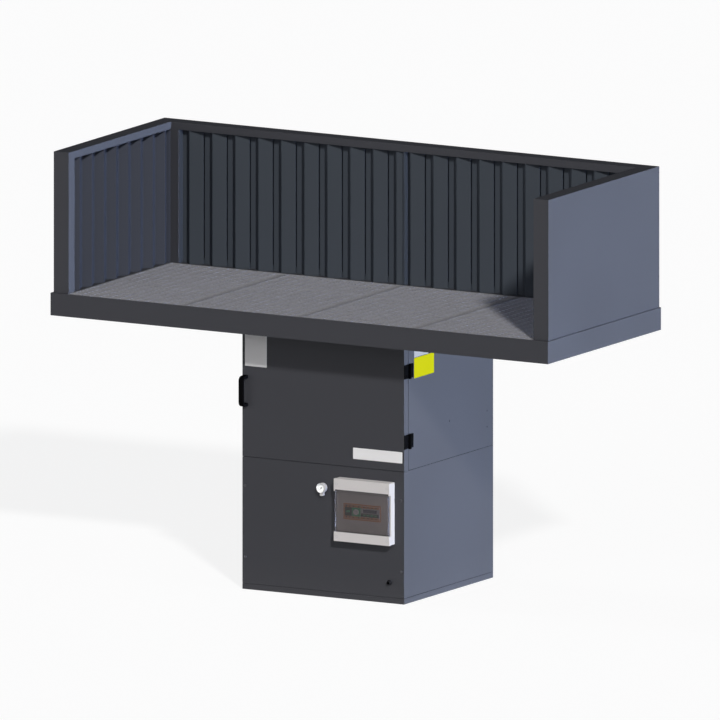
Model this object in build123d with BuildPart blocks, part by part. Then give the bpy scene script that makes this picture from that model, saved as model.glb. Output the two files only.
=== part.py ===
from build123d import *
from math import ceil, floor
import os

# Downdraft table: a suction work table on a filter and fan cabinet. Sizes are in millimetres.
# The origin is on the floor, under the middle of the table's outline. +X is right, +Y is back, +Z is up.

# Driving sizes of the table
table_length = 2000.0
table_depth = 800.0
work_height = 1018.0
tray_height = 80.0
tray_sheet = 3.0

# Suction walls round the work space
wall_height = 500.0
wall_thickness = 60.0
wall_sheet = 2.0
wall_end_inset = 5.6
wall_front_inset = 13.2
wall_back_inset = 2.0
wall_top_rail = 26.0
side_front_stile = 42.5
back_stile = 30.0
stile_return = 14.0

# Baffle cassettes: folded slats with an open slot between each slat and the next
side_slat_pitch = 86.2
back_slat_pitch = 92.5
side_first_ridge = 40.3
back_left_first_ridge = 42.2
back_right_first_ridge = 26.7
slat_sheet = 2.0
slat_near_depth = 3.0
slat_deep_depth = 27.0
slat_leaf_depth = 20.0
slat_riser_run = 25.0
slat_lip_run = 19.5
slat_slot = 1.2
cassette_clearance = 0.5
tie_depth = 3.0
tie_height = 20.0

# Duct slots from the walls into the tray
duct_slot_width = 20.0
duct_slot_length = 560.0
duct_slot_web = 40.0
duct_slot_setback = 4.0

# Grating panels and the frame that carries them
panel_count = 4
panel_clearance = 1.0
grating_height = 25.0
grating_bar = 3.0
grating_pitch_x = 37.5
grating_pitch_y = 25.0
grating_margin = 5.0
bearer_width = 14.0
bearer_height = 22.0
bearer_foot_length = 40.0

# Cabinet
cabinet_width = 650.0
cabinet_depth = 630.0
cabinet_sheet = 2.0
cabinet_flange = 27.0
base_height = 20.0
base_sheet = 3.0
seam_height = 470.0
seam_groove_height = 1.5
seam_groove_depth = 1.4
seam_gap = 1.0
throat_clearance = 10.0

# Filter door
door_thickness = 32.0
door_sheet = 2.0
door_gap = 2.0
door_frame_width = 36.0
door_frame_setback = 10.0
door_opening_half_width = 290.0
door_opening_bottom = 545.0
door_opening_top = 905.0
gasket_width = 12.0
gasket_margin = 2.0
gasket_clearance = 0.3

# Hinges on the cabinet's right side
hinge_heights = (575.0, 824.0)
hinge_height = 50.0
hinge_leaf_reach = 32.0
hinge_leaf_thickness = 3.0
hinge_knuckle_radius = 6.0
hinge_pin_radius = 3.0
hinge_pin_head_radius = 4.5
hinge_pin_head_height = 1.5
hinge_running_gap = 0.4
hinge_bore_clearance = 0.05
hinge_stand_off = 0.5

# Door handle
handle_center_x = -312.0
handle_center_z = 705.0
handle_length = 112.0
handle_reach = 35.0
handle_width = 20.0
handle_grip = 9.0
handle_foot = 13.0
handle_corner_radius = 14.0
handle_gap_radius = 5.0
handle_edge_radius = 2.0

# Magnetic catches
catch_heights = (620.0, 790.0)
catch_width = 12.0
catch_height = 40.0
catch_depth = 8.0
catch_edge_distance = 5.0
catch_gap = 0.3

# Spark trap and its rails
trap_height = 25.0
trap_top_gap = 38.0
trap_frame = 20.0
trap_bar_height = 6.0
trap_bar_width = 24.0
trap_bar_pitch = 36.0
trap_clearance = 4.0
rail_width = 50.0
rail_thickness = 2.0

# Tube sheet and filter cartridges
tube_sheet_height = 538.0
tube_sheet_thickness = 2.0
cartridge_spacing_x = 280.0
cartridge_spacing_y = 264.0
cartridge_radius = 115.0
cartridge_core_radius = 75.0
cartridge_length = 290.0
cartridge_cap_radius = 119.0
cartridge_cap_thickness = 9.0
cartridge_seat_gap = 0.3
rod_radius = 5.0
rod_hole_clearance = 0.5
rod_rise = 18.0
yoke_bar_width = 20.0
yoke_bar_thickness = 4.0
yoke_bar_overlap = 12.0
knob_radius = 20.0
knob_height = 12.0
knob_bore_clearance = 0.05
knob_seat_gap = 0.3

# Fan
fan_plate_thickness = 3.0
fan_plate_clearance = 1.0
inlet_radius = 105.0
inlet_throat_radius = 92.0
inlet_depth = 30.0
inlet_flange = 15.0
inlet_sheet = 2.0
inlet_fit_gap = 0.5
eye_clearance = 4.0
impeller_radius = 170.0
impeller_height = 90.0
impeller_disc = 3.0
impeller_plate_gap = 22.0
blade_count = 7
blade_thickness = 3.0
blade_inner_radius = 100.0
blade_outer_radius = 164.0
blade_lag = 42.0
blade_camber = 12.0
hub_radius = 30.0
hub_height = 32.0
shaft_radius = 14.0
shaft_fit = 0.05
motor_radius = 88.0
motor_fin_depth = 7.0
motor_fin_width = 4.0
motor_fin_count = 24
motor_length = 210.0
motor_boss_radius = 45.0
motor_boss_height = 8.0
motor_top_gap = 12.0
shaft_depth_in_motor = 130.0
terminal_box_size = (70.0, 60.0, 90.0)
stool_size = 240.0
stool_plate = 5.0
stool_leg = 22.0
outlet_half_width = 180.0
outlet_bottom = 70.0
outlet_height = 200.0
grille_border = 15.0
grille_slat_pitch = 16.0
grille_slot_height = 9.0
grille_thickness = 2.0

# Control box on the lower front panel
box_center_x = 175.3
box_width = 223.2
box_bottom = 210.0
box_height = 221.0
box_base_depth = 23.0
box_wall = 2.5
box_top_band = 38.0
box_bottom_band = 33.0
box_band_depth = 14.5
box_corner_radius = 3.0
window_gap = 0.4
window_thickness = 11.0
window_wall = 2.5
window_ear_width = 4.0
window_pivot_inset = 3.0
window_pin_radius = 1.5
window_pin_length = 5.0
window_pin_end_gap = 0.5
window_pin_clearance = 0.05
device_opening_width = 140.0
device_opening_height = 47.0
device_opening_left = 38.3
device_opening_rise = 84.0
device_clearance = 0.5
device_proud = 1.5
din_rail_width = 35.0
din_rail_depth = 7.5
din_rail_sheet = 1.0
din_rail_length = 200.0
din_lip = 5.0
switch_width = 27.5
button_width = 35.0
button_radius = 10.0
button_proud = 5.0
button_travel = 3.0
button_clearance = 0.3
button_depth = 12.0
rocker_width = 14.0
rocker_radius = 4.0
rocker_lever = 6.0
rocker_lever_thickness = 2.6
rocker_sink = 2.0
rocker_clearance = 0.3
display_height = 12.0
display_depth = 0.8
display_margin = 10.0
wiring_hole_radius = 10.0
wiring_hole_rise = 30.0

# Pressure gauge
gauge_height = 388.0
gauge_radius = 17.5
gauge_depth = 20.0
gauge_rim = 2.0
gauge_pocket_depth = 6.0
gauge_lens_thickness = 1.5
gauge_lens_clearance = 0.3
gauge_pin_radius = 1.2
gauge_pin_clearance = 0.05
gauge_needle_length = 12.0
gauge_needle_tail = 5.0
gauge_needle_width = 1.6
gauge_needle_thickness = 0.8
gauge_needle_hub_radius = 3.0
gauge_needle_gap = 0.8
gauge_needle_rest = -135.0
gauge_stem_width = 12.0
gauge_stem_drop = 28.0
gauge_pipe_radius = 5.0
gauge_pipe_clearance = 0.3
gauge_pipe_length = 12.0

# Cable gland, screws, rivets and plates
gland_x = 267.6
gland_z = 74.0
gland_hex_radius = 10.0
gland_hex_height = 5.0
gland_dome_radius = 7.5
gland_dome_height = 8.0
gland_thread_radius = 6.0
gland_bore_radius = 4.0
gland_hole_clearance = 0.3
gland_inner_length = 10.0
gland_nut_height = 4.0
screw_edge_distance = 12.0
screw_heights = (115.0, 368.0)
screw_head_radius = 5.0
screw_head_height = 2.6
screw_radius = 2.5
screw_hole_clearance = 0.3
screw_length = 12.0
rivet_places = ((323.5, 603.0), (589.0, 599.0), (589.0, 542.0))
rivet_head_radius = 4.0
rivet_head_height = 1.5
rivet_radius = 2.0
rivet_length = 6.0
rivet_hole_clearance = 0.2
plate_thickness = 0.6
plate_corner_radius = 2.0
door_plate = (10.4, 793.0, 87.6, 130.0)
name_plate_place = (445.0, 500.0, 198.0, 40.0)
side_plate = (71.0, 792.0, 140.0, 72.0)
side_note_plate = (71.0, 866.0, 100.0, 59.0)

# One overrun serves all cuts.
overrun = 1.0

# Places worked out from the sizes above
half_length = table_length / 2
tray_front = -table_depth / 2
tray_back = table_depth / 2
tray_bottom = work_height - tray_height
tray_floor = tray_bottom + tray_sheet
wall_outer_x = half_length - wall_end_inset
wall_inner_x = wall_outer_x - wall_thickness
wall_front = tray_front + wall_front_inset
wall_back = tray_back - wall_back_inset
back_wall_front = wall_back - wall_thickness
wall_top = work_height + wall_height
side_opening_front = wall_front + side_front_stile
back_opening_half_width = wall_inner_x - back_stile
opening_top = wall_top - wall_top_rail
cassette_height = opening_top - cassette_clearance - work_height

cabinet_half = cabinet_width / 2
cabinet_back = tray_back
cabinet_front = cabinet_back - cabinet_depth
cabinet_middle_y = (cabinet_front + cabinet_back) / 2
housing_front = cabinet_front + door_thickness
panel_back = cabinet_front + cabinet_sheet
door_back = housing_front - door_gap
throat_half_width = cabinet_half - cabinet_flange - throat_clearance
throat_front = housing_front + cabinet_flange + throat_clearance
throat_back = cabinet_back - cabinet_flange - throat_clearance

os.makedirs("parts", exist_ok=True)


def export_piece(piece, name):
    """Labels a finished piece and writes its STEP file."""
    piece.label = name
    export_step(piece, "parts/" + name + ".step")


def slab(low, high, mode=Mode.ADD):
    """Adds or cuts the block between two corners in the part being built."""
    size = [top - bottom for bottom, top in zip(low, high)]
    middle = tuple((bottom + top) / 2 for bottom, top in zip(low, high))
    with Locations(middle):
        Box(*size, mode=mode)


def bar(low, high):
    """Builds the block between two corners as a solid of its own, for bars that are welded face to face."""
    with BuildPart() as piece:
        slab(low, high)
    return piece.solid()


# Tray: a welded box with flat decks under the walls, a mouth for the gratings and a throat to the cabinet
def duct_slot_count(run):
    """Counts the duct slots that fit along a run of deck."""
    return floor(run / (duct_slot_length + duct_slot_web))


duct_side_x = wall_outer_x - wall_sheet - duct_slot_setback - duct_slot_width / 2
duct_back_y = wall_back - wall_sheet - duct_slot_setback - duct_slot_width / 2
side_run = back_wall_front - side_opening_front
back_run = 2 * back_opening_half_width
mouth_front = tray_front + tray_sheet
mouth_back = back_wall_front

with BuildPart() as tray:
    slab((-half_length, tray_front, tray_bottom), (half_length, tray_back, work_height))
    slab(
        (-half_length + tray_sheet, tray_front + tray_sheet, tray_floor),
        (half_length - tray_sheet, tray_back - tray_sheet, work_height - tray_sheet),
        Mode.SUBTRACT,
    )
    slab(
        (-wall_inner_x, mouth_front, work_height - tray_sheet - overrun),
        (wall_inner_x, mouth_back, work_height + overrun),
        Mode.SUBTRACT,
    )
    slab(
        (-throat_half_width, throat_front, tray_bottom - overrun),
        (throat_half_width, throat_back, tray_floor + overrun),
        Mode.SUBTRACT,
    )
    with BuildSketch(Plane.XY.offset(work_height)):
        with Locations((-duct_side_x, (side_opening_front + back_wall_front) / 2)):
            with GridLocations(duct_slot_width, duct_slot_length + duct_slot_web, 1, duct_slot_count(side_run)):
                Rectangle(duct_slot_width, duct_slot_length)
        with Locations((duct_side_x, (side_opening_front + back_wall_front) / 2)):
            with GridLocations(duct_slot_width, duct_slot_length + duct_slot_web, 1, duct_slot_count(side_run)):
                Rectangle(duct_slot_width, duct_slot_length)
        with Locations((0, duct_back_y)):
            with GridLocations(duct_slot_length + duct_slot_web, duct_slot_width, duct_slot_count(back_run), 1):
                Rectangle(duct_slot_length, duct_slot_width)
    extrude(amount=-(tray_sheet + overrun), mode=Mode.SUBTRACT)
export_piece(tray.part, "tray")

# Support frame under the gratings: a front and a back rail, a bearer under each joint, and feet on the tray's floor
mouth_width = 2 * wall_inner_x
panel_pitch = mouth_width / panel_count
grating_bottom = work_height - grating_height
bearer_bottom = grating_bottom - bearer_height
bearer_reach = wall_inner_x - bearer_width / 2 - panel_clearance
bearer_places = [max(-bearer_reach, min(bearer_reach, -wall_inner_x + i * panel_pitch)) for i in range(panel_count + 1)]
frame_front = mouth_front + panel_clearance
frame_back = mouth_back - panel_clearance

rail_half = wall_inner_x - panel_clearance
frame_bars = [
    bar((-rail_half, rail_front, bearer_bottom), (rail_half, rail_front + bearer_width, grating_bottom))
    for rail_front in (frame_front, frame_back - bearer_width)
]
for bearer_x in bearer_places:
    left, right = bearer_x - bearer_width / 2, bearer_x + bearer_width / 2
    frame_bars.append(
        bar((left, frame_front + bearer_width, bearer_bottom), (right, frame_back - bearer_width, grating_bottom))
    )
    for foot_front in (frame_front, frame_back - bearer_foot_length):
        frame_bars.append(
            bar((left, foot_front, tray_floor), (right, foot_front + bearer_foot_length, bearer_bottom))
        )
export_piece(Compound(frame_bars), "grating_frame")

# Grating panels: bars on edge in both directions
panel_width = panel_pitch - panel_clearance
panel_depth = mouth_back - mouth_front - 2 * panel_clearance
cells_x = floor((panel_width - 2 * grating_margin + grating_bar) / grating_pitch_x)
cells_y = floor((panel_depth - 2 * grating_margin + grating_bar) / grating_pitch_y)

with BuildSketch() as grating_face:
    Rectangle(panel_width, panel_depth)
    with GridLocations(grating_pitch_x, grating_pitch_y, cells_x, cells_y):
        Rectangle(grating_pitch_x - grating_bar, grating_pitch_y - grating_bar, mode=Mode.SUBTRACT)

for i in range(panel_count):
    panel_x = -wall_inner_x + (i + 1 / 2) * panel_pitch
    with BuildPart(Plane((panel_x, (mouth_front + mouth_back) / 2, grating_bottom))) as grating_panel:
        add(grating_face.sketch)
        extrude(amount=grating_height)
    export_piece(grating_panel.part, "grating_panel_" + str(i + 1))


# Wall shells: hollow, open below into the tray, with a framed opening on the side of the work space
def side_wall(sign):
    """Builds the left (-1) or right (+1) wall shell."""
    inner_x = sign * wall_inner_x
    outer_x = sign * wall_outer_x

    def across(a, b):
        return min(a, b), max(a, b)

    low_x, high_x = across(inner_x, outer_x)
    return_low, return_high = across(inner_x, inner_x + sign * stile_return)
    face_low, face_high = across(inner_x - sign * overrun, inner_x + sign * wall_sheet)
    with BuildPart() as shell:
        slab((low_x, wall_front, work_height), (high_x, wall_back, wall_top))
        slab(
            (low_x + wall_sheet, wall_front + wall_sheet, work_height - overrun),
            (high_x - wall_sheet, wall_back - wall_sheet, wall_top - wall_sheet),
            Mode.SUBTRACT,
        )
        slab(
            (face_low, side_opening_front, work_height - overrun),
            (face_high, back_wall_front, opening_top),
            Mode.SUBTRACT,
        )
        slab(
            (return_low, side_opening_front - wall_sheet, work_height),
            (return_high, side_opening_front, opening_top + wall_sheet),
        )
        slab(
            (return_low, back_wall_front, work_height),
            (return_high, back_wall_front + wall_sheet, opening_top + wall_sheet),
        )
        slab(
            (return_low, side_opening_front - wall_sheet, opening_top),
            (return_high, back_wall_front + wall_sheet, opening_top + wall_sheet),
        )
    return shell.part


export_piece(side_wall(-1), "left_wall_shell")
export_piece(side_wall(1), "right_wall_shell")

with BuildPart() as back_wall:
    slab((-wall_inner_x, back_wall_front, work_height), (wall_inner_x, wall_back, wall_top))
    slab(
        (-wall_inner_x + wall_sheet, back_wall_front + wall_sheet, work_height - overrun),
        (wall_inner_x - wall_sheet, wall_back - wall_sheet, wall_top - wall_sheet),
        Mode.SUBTRACT,
    )
    slab(
        (-back_opening_half_width, back_wall_front - overrun, work_height - overrun),
        (back_opening_half_width, back_wall_front + wall_sheet, opening_top),
        Mode.SUBTRACT,
    )
    for stile_x in (-back_opening_half_width - wall_sheet, back_opening_half_width):
        slab(
            (stile_x, back_wall_front, work_height),
            (stile_x + wall_sheet, back_wall_front + stile_return, opening_top + wall_sheet),
        )
    slab(
        (-back_opening_half_width - wall_sheet, back_wall_front, opening_top),
        (back_opening_half_width + wall_sheet, back_wall_front + stile_return, opening_top + wall_sheet),
    )
export_piece(back_wall.part, "back_wall_shell")


# Baffle cassettes, drawn with x along the wall and y into the wall
def slat_outline(ridge, start, end, leaf_run):
    """Gives the corners of one folded slat: lip, riser, ridge and leaf."""
    foot = ridge - slat_riser_run
    lip = max(foot - slat_lip_run, start)
    leaf = min(leaf_run, end - ridge)
    leaf_depth = slat_near_depth + (slat_leaf_depth - slat_near_depth) * leaf / leaf_run
    face = [
        (lip, slat_deep_depth),
        (foot, slat_deep_depth),
        (ridge, slat_near_depth),
        (ridge + leaf, leaf_depth),
    ]
    back = [(x, y + slat_sheet) for x, y in reversed(face)]
    return face + back


def baffle_cassette(plane, length, first_ridge, pitch):
    """Builds one cassette of folded slats with end plates and a tie bar at its foot and head."""
    leaf_run = pitch - slat_riser_run - slat_lip_run - slat_slot
    start = cassette_clearance
    end = length - cassette_clearance
    ridges = [first_ridge + i * pitch for i in range(ceil((end - first_ridge) / pitch))]
    tie_near = slat_deep_depth + slat_sheet / 2
    tie_far = tie_near + tie_depth
    with BuildPart() as cassette:
        with BuildSketch(plane):
            for ridge in ridges:
                with BuildLine():
                    Polyline(*slat_outline(ridge, start, end, leaf_run), close=True)
                make_face()
            for plate in (start, end - slat_sheet):
                with Locations((plate + slat_sheet / 2, (slat_near_depth + tie_far) / 2)):
                    Rectangle(slat_sheet, tie_far - slat_near_depth)
        extrude(amount=cassette_height)
        for tie_bottom in (0, cassette_height - tie_height):
            with BuildSketch(plane.offset(tie_bottom)):
                with Locations(((start + end) / 2, (tie_near + tie_far) / 2)):
                    Rectangle(end - start, tie_depth)
            extrude(amount=tie_height)
    return cassette.part


left_plane = Plane((-wall_inner_x, side_opening_front, work_height), x_dir=(0, 1, 0), z_dir=(0, 0, 1))
right_plane = Plane((wall_inner_x, back_wall_front, work_height), x_dir=(0, -1, 0), z_dir=(0, 0, 1))
back_left_plane = Plane((-back_opening_half_width, back_wall_front, work_height))
back_right_plane = Plane((0, back_wall_front, work_height))
export_piece(baffle_cassette(left_plane, side_run, side_first_ridge, side_slat_pitch), "left_baffle")
export_piece(baffle_cassette(right_plane, side_run, side_first_ridge, side_slat_pitch), "right_baffle")
export_piece(
    baffle_cassette(back_left_plane, back_opening_half_width, back_left_first_ridge, back_slat_pitch),
    "back_baffle_left",
)
export_piece(
    baffle_cassette(back_right_plane, back_opening_half_width, back_right_first_ridge, back_slat_pitch),
    "back_baffle_right",
)

# Base plinth: a shallow pan with a flange on which the lower housing stands
with BuildPart() as base_frame:
    slab((-cabinet_half, cabinet_front, 0), (cabinet_half, cabinet_back, base_height))
    slab(
        (-cabinet_half + base_sheet, cabinet_front + base_sheet, base_sheet),
        (cabinet_half - base_sheet, cabinet_back - base_sheet, base_height - base_sheet),
        Mode.SUBTRACT,
    )
    slab(
        (-cabinet_half + cabinet_flange, cabinet_front + cabinet_flange, base_height - base_sheet - overrun),
        (cabinet_half - cabinet_flange, cabinet_back - cabinet_flange, base_height + overrun),
        Mode.SUBTRACT,
    )
export_piece(base_frame.part, "base_frame")


def seam_groove(front, bottom):
    """Cuts the shadow groove round the foot of a housing whose front face is at the given place."""
    with BuildSketch(Plane((0, (front + cabinet_back) / 2, bottom))) as ring:
        Rectangle(cabinet_width, cabinet_back - front)
        Rectangle(
            cabinet_width - 2 * seam_groove_depth,
            cabinet_back - front - 2 * seam_groove_depth,
            mode=Mode.SUBTRACT,
        )
    extrude(ring.sketch, amount=seam_groove_height, mode=Mode.SUBTRACT)


# Lower housing: fan chamber with a flanged front, a flanged top and the outlet in its back
lower_front = panel_back
inside_half = cabinet_half - cabinet_sheet
flange_half = cabinet_half - cabinet_flange
with BuildPart() as lower_housing:
    slab((-cabinet_half, lower_front, base_height), (cabinet_half, cabinet_back, seam_height))
    slab(
        (-inside_half, lower_front + cabinet_sheet, base_height + cabinet_sheet),
        (inside_half, cabinet_back - cabinet_sheet, seam_height - cabinet_sheet),
        Mode.SUBTRACT,
    )
    slab(
        (-flange_half, lower_front - overrun, base_height + cabinet_flange),
        (flange_half, lower_front + cabinet_sheet + overrun, seam_height - cabinet_flange),
        Mode.SUBTRACT,
    )
    slab(
        (-flange_half, lower_front + cabinet_flange, seam_height - cabinet_sheet - overrun),
        (flange_half, cabinet_back - cabinet_flange, seam_height + overrun),
        Mode.SUBTRACT,
    )
    slab(
        (-outlet_half_width, cabinet_back - cabinet_sheet - overrun, outlet_bottom),
        (outlet_half_width, cabinet_back + overrun, outlet_bottom + outlet_height),
        Mode.SUBTRACT,
    )
    seam_groove(lower_front, base_height)
    with BuildSketch(Plane.XZ.offset(-lower_front)):
        for screw_z in screw_heights:
            with Locations(
                (-cabinet_half + screw_edge_distance, screw_z),
                (cabinet_half - screw_edge_distance, screw_z),
            ):
                Circle(screw_radius + screw_hole_clearance)
    extrude(amount=-(cabinet_sheet + overrun), mode=Mode.SUBTRACT)
export_piece(lower_housing.part, "lower_housing")

# Lower front panel: a flat sheet over the fan chamber, pierced for what it carries
front_plane = Plane.XZ.offset(-cabinet_front)
with BuildPart() as lower_front_panel:
    slab((-cabinet_half, cabinet_front, base_height + seam_gap), (cabinet_half, panel_back, seam_height - seam_gap))
    with BuildSketch(front_plane):
        for screw_z in screw_heights:
            with Locations(
                (-cabinet_half + screw_edge_distance, screw_z),
                (cabinet_half - screw_edge_distance, screw_z),
            ):
                Circle(screw_radius + screw_hole_clearance)
        with Locations((0, gauge_height - gauge_stem_drop + gauge_stem_width / 2)):
            Circle(gauge_pipe_radius + gauge_pipe_clearance)
        with Locations((gland_x, gland_z)):
            Circle(gland_thread_radius + gland_hole_clearance)
        with Locations((box_center_x, box_bottom + wiring_hole_rise)):
            Circle(wiring_hole_radius)
    extrude(amount=-(cabinet_sheet + overrun), mode=Mode.SUBTRACT)
export_piece(lower_front_panel.part, "lower_front_panel")

with BuildPart() as front_panel_screws:
    for screw_z in screw_heights:
        for screw_x in (-cabinet_half + screw_edge_distance, cabinet_half - screw_edge_distance):
            with BuildSketch(front_plane):
                with Locations((screw_x, screw_z)):
                    Circle(screw_head_radius)
            extrude(amount=screw_head_height)
            with BuildSketch(front_plane):
                with Locations((screw_x, screw_z)):
                    Circle(screw_radius)
            extrude(amount=-screw_length)
export_piece(front_panel_screws.part, "front_panel_screws")

# Upper housing: filter chamber, open above to the tray and below to the fan plate
side_plane = Plane.YZ.offset(cabinet_half)
trap_rail_top = tray_bottom - trap_top_gap - trap_height
with BuildPart() as upper_housing:
    slab((-cabinet_half, housing_front, seam_height), (cabinet_half, cabinet_back, tray_bottom))
    slab(
        (-inside_half, housing_front + cabinet_sheet, seam_height + cabinet_sheet),
        (inside_half, cabinet_back - cabinet_sheet, tray_bottom - cabinet_sheet),
        Mode.SUBTRACT,
    )
    slab(
        (-flange_half, housing_front + cabinet_flange, seam_height - overrun),
        (flange_half, cabinet_back - cabinet_flange, tray_bottom + overrun),
        Mode.SUBTRACT,
    )
    slab(
        (-door_opening_half_width, housing_front - overrun, door_opening_bottom),
        (door_opening_half_width, housing_front + cabinet_sheet + overrun, door_opening_top),
        Mode.SUBTRACT,
    )
    for rail_top in (trap_rail_top, tube_sheet_height):
        for rail_x in (-inside_half - cabinet_sheet / 2, inside_half - rail_width):
            slab(
                (rail_x, housing_front + cabinet_sheet / 2, rail_top - rail_thickness),
                (rail_x + rail_width + cabinet_sheet / 2, cabinet_back - cabinet_sheet / 2, rail_top),
            )
    seam_groove(housing_front, seam_height)
    with BuildSketch(side_plane):
        for rivet_back, rivet_z in rivet_places:
            with Locations((cabinet_front + rivet_back, rivet_z)):
                Circle(rivet_radius + rivet_hole_clearance)
    extrude(amount=-(cabinet_sheet + overrun), mode=Mode.SUBTRACT)
export_piece(upper_housing.part, "upper_housing")

with BuildPart() as side_rivets:
    for rivet_back, rivet_z in rivet_places:
        with BuildSketch(side_plane):
            with Locations((cabinet_front + rivet_back, rivet_z)):
                Circle(rivet_head_radius)
        extrude(amount=rivet_head_height)
        with BuildSketch(side_plane):
            with Locations((cabinet_front + rivet_back, rivet_z)):
                Circle(rivet_radius)
        extrude(amount=-rivet_length)
export_piece(side_rivets.part, "side_rivets")

# Filter door: an outer skin with folded edges and an inner frame that carries the gasket
door_bottom = seam_height + seam_groove_height
door_top = tray_bottom - seam_groove_height
door_frame_back = door_back - door_frame_setback
with BuildPart() as filter_door:
    slab((-cabinet_half, cabinet_front, door_bottom), (cabinet_half, door_back, door_top))
    slab(
        (-cabinet_half + door_sheet, cabinet_front + door_sheet, door_bottom + door_sheet),
        (cabinet_half - door_sheet, door_back + overrun, door_top - door_sheet),
        Mode.SUBTRACT,
    )
    with BuildSketch(Plane.XZ.offset(-door_frame_back)):
        with Locations((0, (door_bottom + door_top) / 2)):
            Rectangle(cabinet_width - door_sheet, door_top - door_bottom - door_sheet)
        with Locations((0, (door_opening_bottom + door_opening_top) / 2)):
            Rectangle(
                cabinet_width - 2 * door_frame_width,
                door_opening_top - door_opening_bottom,
                mode=Mode.SUBTRACT,
            )
    extrude(amount=door_sheet)
export_piece(filter_door.part, "filter_door")

gasket_inner_half = door_opening_half_width + gasket_margin
gasket_inner_height = door_opening_top - door_opening_bottom + 2 * gasket_margin
with BuildPart() as door_gasket:
    with BuildSketch(Plane.XZ.offset(-door_frame_back)):
        with Locations((0, (door_opening_bottom + door_opening_top) / 2)):
            Rectangle(2 * (gasket_inner_half + gasket_width), gasket_inner_height + 2 * gasket_width)
            Rectangle(2 * gasket_inner_half, gasket_inner_height, mode=Mode.SUBTRACT)
    extrude(amount=-(door_gap + door_frame_setback - gasket_clearance))
export_piece(door_gasket.part, "door_gasket")

# Door handle: a bridge with a gap for the fingers
handle_gap_reach = handle_reach - handle_grip
with BuildPart() as door_handle:
    with BuildSketch(Plane.YZ.offset(handle_center_x - handle_width / 2)) as handle_side:
        with Locations((cabinet_front - handle_reach / 2, handle_center_z)):
            Rectangle(handle_reach, handle_length)
        fillet(handle_side.vertices().group_by(Axis.X)[0], handle_corner_radius)
        with Locations((cabinet_front - handle_gap_reach / 2 + handle_gap_radius, handle_center_z)):
            RectangleRounded(
                handle_gap_reach + 2 * handle_gap_radius,
                handle_length - 2 * handle_foot,
                handle_gap_radius,
                mode=Mode.SUBTRACT,
            )
    extrude(amount=handle_width)
    fillet(door_handle.faces().sort_by(Axis.Y)[0].edges(), handle_edge_radius)
export_piece(door_handle.part, "door_handle")

# Magnetic catches on the housing and their strikes on the door's inner frame
catch_left = -cabinet_half + catch_edge_distance
catch_front = housing_front - catch_depth
with BuildPart() as catches:
    for catch_z in catch_heights:
        slab(
            (catch_left, catch_front, catch_z - catch_height / 2),
            (catch_left + catch_width, housing_front, catch_z + catch_height / 2),
        )
export_piece(catches.part, "magnetic_catches")

with BuildPart() as strikes:
    for catch_z in catch_heights:
        slab(
            (catch_left, door_frame_back, catch_z - catch_height / 2),
            (catch_left + catch_width, catch_front - catch_gap, catch_z + catch_height / 2),
        )
export_piece(strikes.part, "catch_strikes")

# Hinges on the right side: the door's leaf has the outer knuckles and the housing's leaf the middle one
hinge_axis_x = cabinet_half + hinge_stand_off + hinge_knuckle_radius
hinge_axis_y = (door_back + housing_front) / 2
knuckle_height = (hinge_height - 2 * hinge_running_gap) / 3
knuckle_relief = hinge_knuckle_radius + hinge_running_gap


def hinge_leaf(sign, center_z, knuckles, reliefs):
    """Adds a leaf on the door's side (-1) or the housing's side (+1) with its knuckles."""
    near_y = hinge_axis_y
    far_y = hinge_axis_y + sign * (hinge_leaf_reach - door_gap / 2)
    bottom = center_z - hinge_height / 2
    slab(
        (cabinet_half, min(near_y, far_y), bottom),
        (cabinet_half + hinge_leaf_thickness, max(near_y, far_y), bottom + hinge_height),
    )
    relief_y = hinge_axis_y + sign * knuckle_relief
    for low, high in reliefs:
        slab(
            (cabinet_half - overrun, min(near_y - sign * overrun, relief_y), bottom + low),
            (cabinet_half + hinge_leaf_thickness + overrun, max(near_y - sign * overrun, relief_y), bottom + high),
            Mode.SUBTRACT,
        )
    for low, high in knuckles:
        with BuildSketch(Plane((hinge_axis_x, hinge_axis_y, bottom + low))) as knuckle:
            Circle(hinge_knuckle_radius)
        extrude(knuckle.sketch, amount=high - low)
        with BuildSketch(Plane((hinge_axis_x, hinge_axis_y, bottom + low))) as bore:
            Circle(hinge_pin_radius + hinge_bore_clearance)
        extrude(bore.sketch, amount=high - low, mode=Mode.SUBTRACT)


middle_knuckle = (knuckle_height + hinge_running_gap, 2 * knuckle_height + hinge_running_gap)
outer_knuckles = ((0, knuckle_height), (hinge_height - knuckle_height, hinge_height))
middle_relief = (knuckle_height, hinge_height - knuckle_height)
outer_reliefs = (
    (-overrun, knuckle_height + hinge_running_gap),
    (hinge_height - knuckle_height - hinge_running_gap, hinge_height + overrun),
)
with BuildPart() as hinge_body_leaves:
    for hinge_z in hinge_heights:
        hinge_leaf(1, hinge_z, (middle_knuckle,), outer_reliefs)
export_piece(hinge_body_leaves.part, "hinge_body_leaves")

with BuildPart() as hinge_door_leaves:
    for hinge_z in hinge_heights:
        hinge_leaf(-1, hinge_z, outer_knuckles, (middle_relief,))
export_piece(hinge_door_leaves.part, "hinge_door_leaves")

with BuildPart() as hinge_pins:
    for hinge_z in hinge_heights:
        pin_bottom = hinge_z - hinge_height / 2 - hinge_running_gap
        pin_length = hinge_height + 2 * hinge_running_gap
        with BuildSketch(Plane((hinge_axis_x, hinge_axis_y, pin_bottom))):
            Circle(hinge_pin_radius)
        extrude(amount=pin_length)
        for head_bottom in (pin_bottom - hinge_pin_head_height, pin_bottom + pin_length):
            with BuildSketch(Plane((hinge_axis_x, hinge_axis_y, head_bottom))):
                Circle(hinge_pin_head_radius)
            extrude(amount=hinge_pin_head_height)
export_piece(hinge_pins.part, "hinge_pins")

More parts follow.
